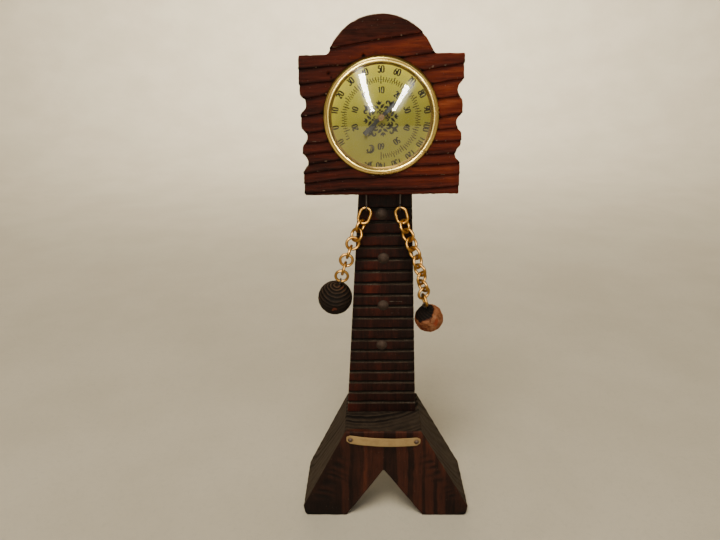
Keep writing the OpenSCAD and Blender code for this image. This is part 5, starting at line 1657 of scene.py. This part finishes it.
# ------------------------------------------------------------------- stage
def stage():
    m = Mat("pale_felt")
    n1 = m.noise(m.map((9, 9, 9)), 1.0, 5.0, 0.6)
    n2 = m.noise(m.map((260, 260, 260)), 1.0, 6.0, 0.65, 0.6)
    n3 = m.noise(m.map((1300, 1300, 1300)), 1.0, 4.0, 0.6, 1.0)
    col = m.mix(m.range(n1, 0.3, 0.7), (0.60, 0.555, 0.465), (0.655, 0.61, 0.52))
    col = m.mix(m.range(n2, 0.50, 0.72, 0.0, 0.16), col, (0.40, 0.38, 0.33))
    col = m.mix(m.range(n3, 0.60, 0.80, 0.0, 0.18), col, (0.33, 0.31, 0.28))
    m.set(Base_Color=col, Normal=m.bump(m.math("ADD", n2, m.math("MULTIPLY", n3, 0.6)), 0.35, 0.0012))
    m.bsdf.inputs["Roughness"].default_value = 0.95
    m.bsdf.inputs["Sheen Weight"].default_value = 0.25
    prof = [(r, 0.0) for r in (0.05, 0.12, 0.2, 0.35, 0.6, 0.9, 1.2)]
    R = 1.1
    prof += [(1.2 + R * math.sin(a), R - R * math.cos(a)) for a in np.radians(np.linspace(5, 86, 18))]
    prof += [(2.30, 1.4), (2.31, 2.2)]
    seg = 96
    V = [(0, 0, 0)]
    for i in range(seg):
        a = 2 * math.pi * i / seg
        V += [(r * math.cos(a), r * math.sin(a), h) for r, h in prof]
    k = len(prof)
    F = []
    for i in range(seg):
        i2 = (i + 1) % seg
        F.append((0, 1 + i * k, 1 + i2 * k))
        # the bowl is open towards the room in front of the object
        last = 6 if math.sin(2 * math.pi * (i + 0.5) / seg) < -0.30 else k - 1
        for j in range(last):
            F.append((1 + i * k + j, 1 + i * k + j + 1, 1 + i2 * k + j + 1, 1 + i2 * k + j))
    me = bpy.data.meshes.new("pale_floor")
    me.from_pydata(V, [], F)
    me.polygons.foreach_set("use_smooth", [True] * len(F))
    ob = bpy.data.objects.new("pale_floor", me)
    bpy.context.scene.collection.objects.link(ob)
    me.materials.append(m.mat)


def area(name, at, to, size, power, colour, size_y=None, along=None, spread=None):
    L = bpy.data.lights.new(name, "AREA")
    L.energy, L.color = power, colour
    L.shape = "RECTANGLE" if size_y else "SQUARE"
    L.size = size
    if size_y:
        L.size_y = size_y
    if spread:
        L.spread = spread
    o = bpy.data.objects.new(name, L)
    z = (Vector(at) - Vector(to)).normalized()
    x = Vector(along or (1, 0, 0))
    x = (x - x.dot(z) * z).normalized()
    y = z.cross(x)
    o.matrix_world = Matrix(((x[0], y[0], z[0], at[0]), (x[1], y[1], z[1], at[1]), (x[2], y[2], z[2], at[2]), (0, 0, 0, 1)))
    bpy.context.scene.collection.objects.link(o)
    o.visible_camera = False
    return o


stage()
DIAL_AT = Vector((-0.0022, -0.02, 0.2585))
WARM = (1.0, 0.90, 0.70)
area("key_soft", (-0.25, -0.80, 1.95), (0, 0.0, 0.18), 0.8, 34, WARM)
area("back_wash", (0.0, 0.50, 2.2), (0, 2.1, 0.7), 1.2, 45, WARM, spread=math.radians(90))


def toward(az, el):
    """Unit vector from the dial: azimuth to the right of straight ahead of it, and height."""
    a, e = math.radians(az), math.radians(el)
    return Vector((math.sin(a) * math.cos(e), -math.cos(a) * math.cos(e), math.sin(e)))


def lamp_row(name, hi, lo, count, w_hi, w_lo, glow):
    """A row of square lamps between two directions, wider at its near end."""
    for k in range(count):
        t0, t1 = (k + 0.06) / count, (k + 0.94) / count
        a = toward(hi[0] + (lo[0] - hi[0]) * t0, hi[1] + (lo[1] - hi[1]) * t0) * 1.5
        b = toward(hi[0] + (lo[0] - hi[0]) * t1, hi[1] + (lo[1] - hi[1]) * t1) * 1.5
        w = w_hi + (w_lo - w_hi) * (k + 0.5) / count
        l = (b - a).length
        o = area(f"{name}_{k + 1}", DIAL_AT + (a + b) / 2, DIAL_AT, l, glow * math.pi * l * w, (1.0, 0.93, 0.76), size_y=w, along=tuple(b - a))
        o.visible_diffuse = o.visible_transmission = False


# two rows of ceiling lamps, seen as bright strips in the dome
lamp_row("row_left", (-22, 38), (-7.5, 2.2), 8, 0.16, 0.075, 165)
lamp_row("row_right", (29.5, 25), (13.0, 2.6), 8, 0.135, 0.065, 150)

world = bpy.data.worlds.new("room")
bpy.context.scene.world = world
world.use_nodes = True
world.node_tree.nodes["Background"].inputs[0].default_value = (1.0, 0.90, 0.72, 1)
world.node_tree.nodes["Background"].inputs[1].default_value = 0.08
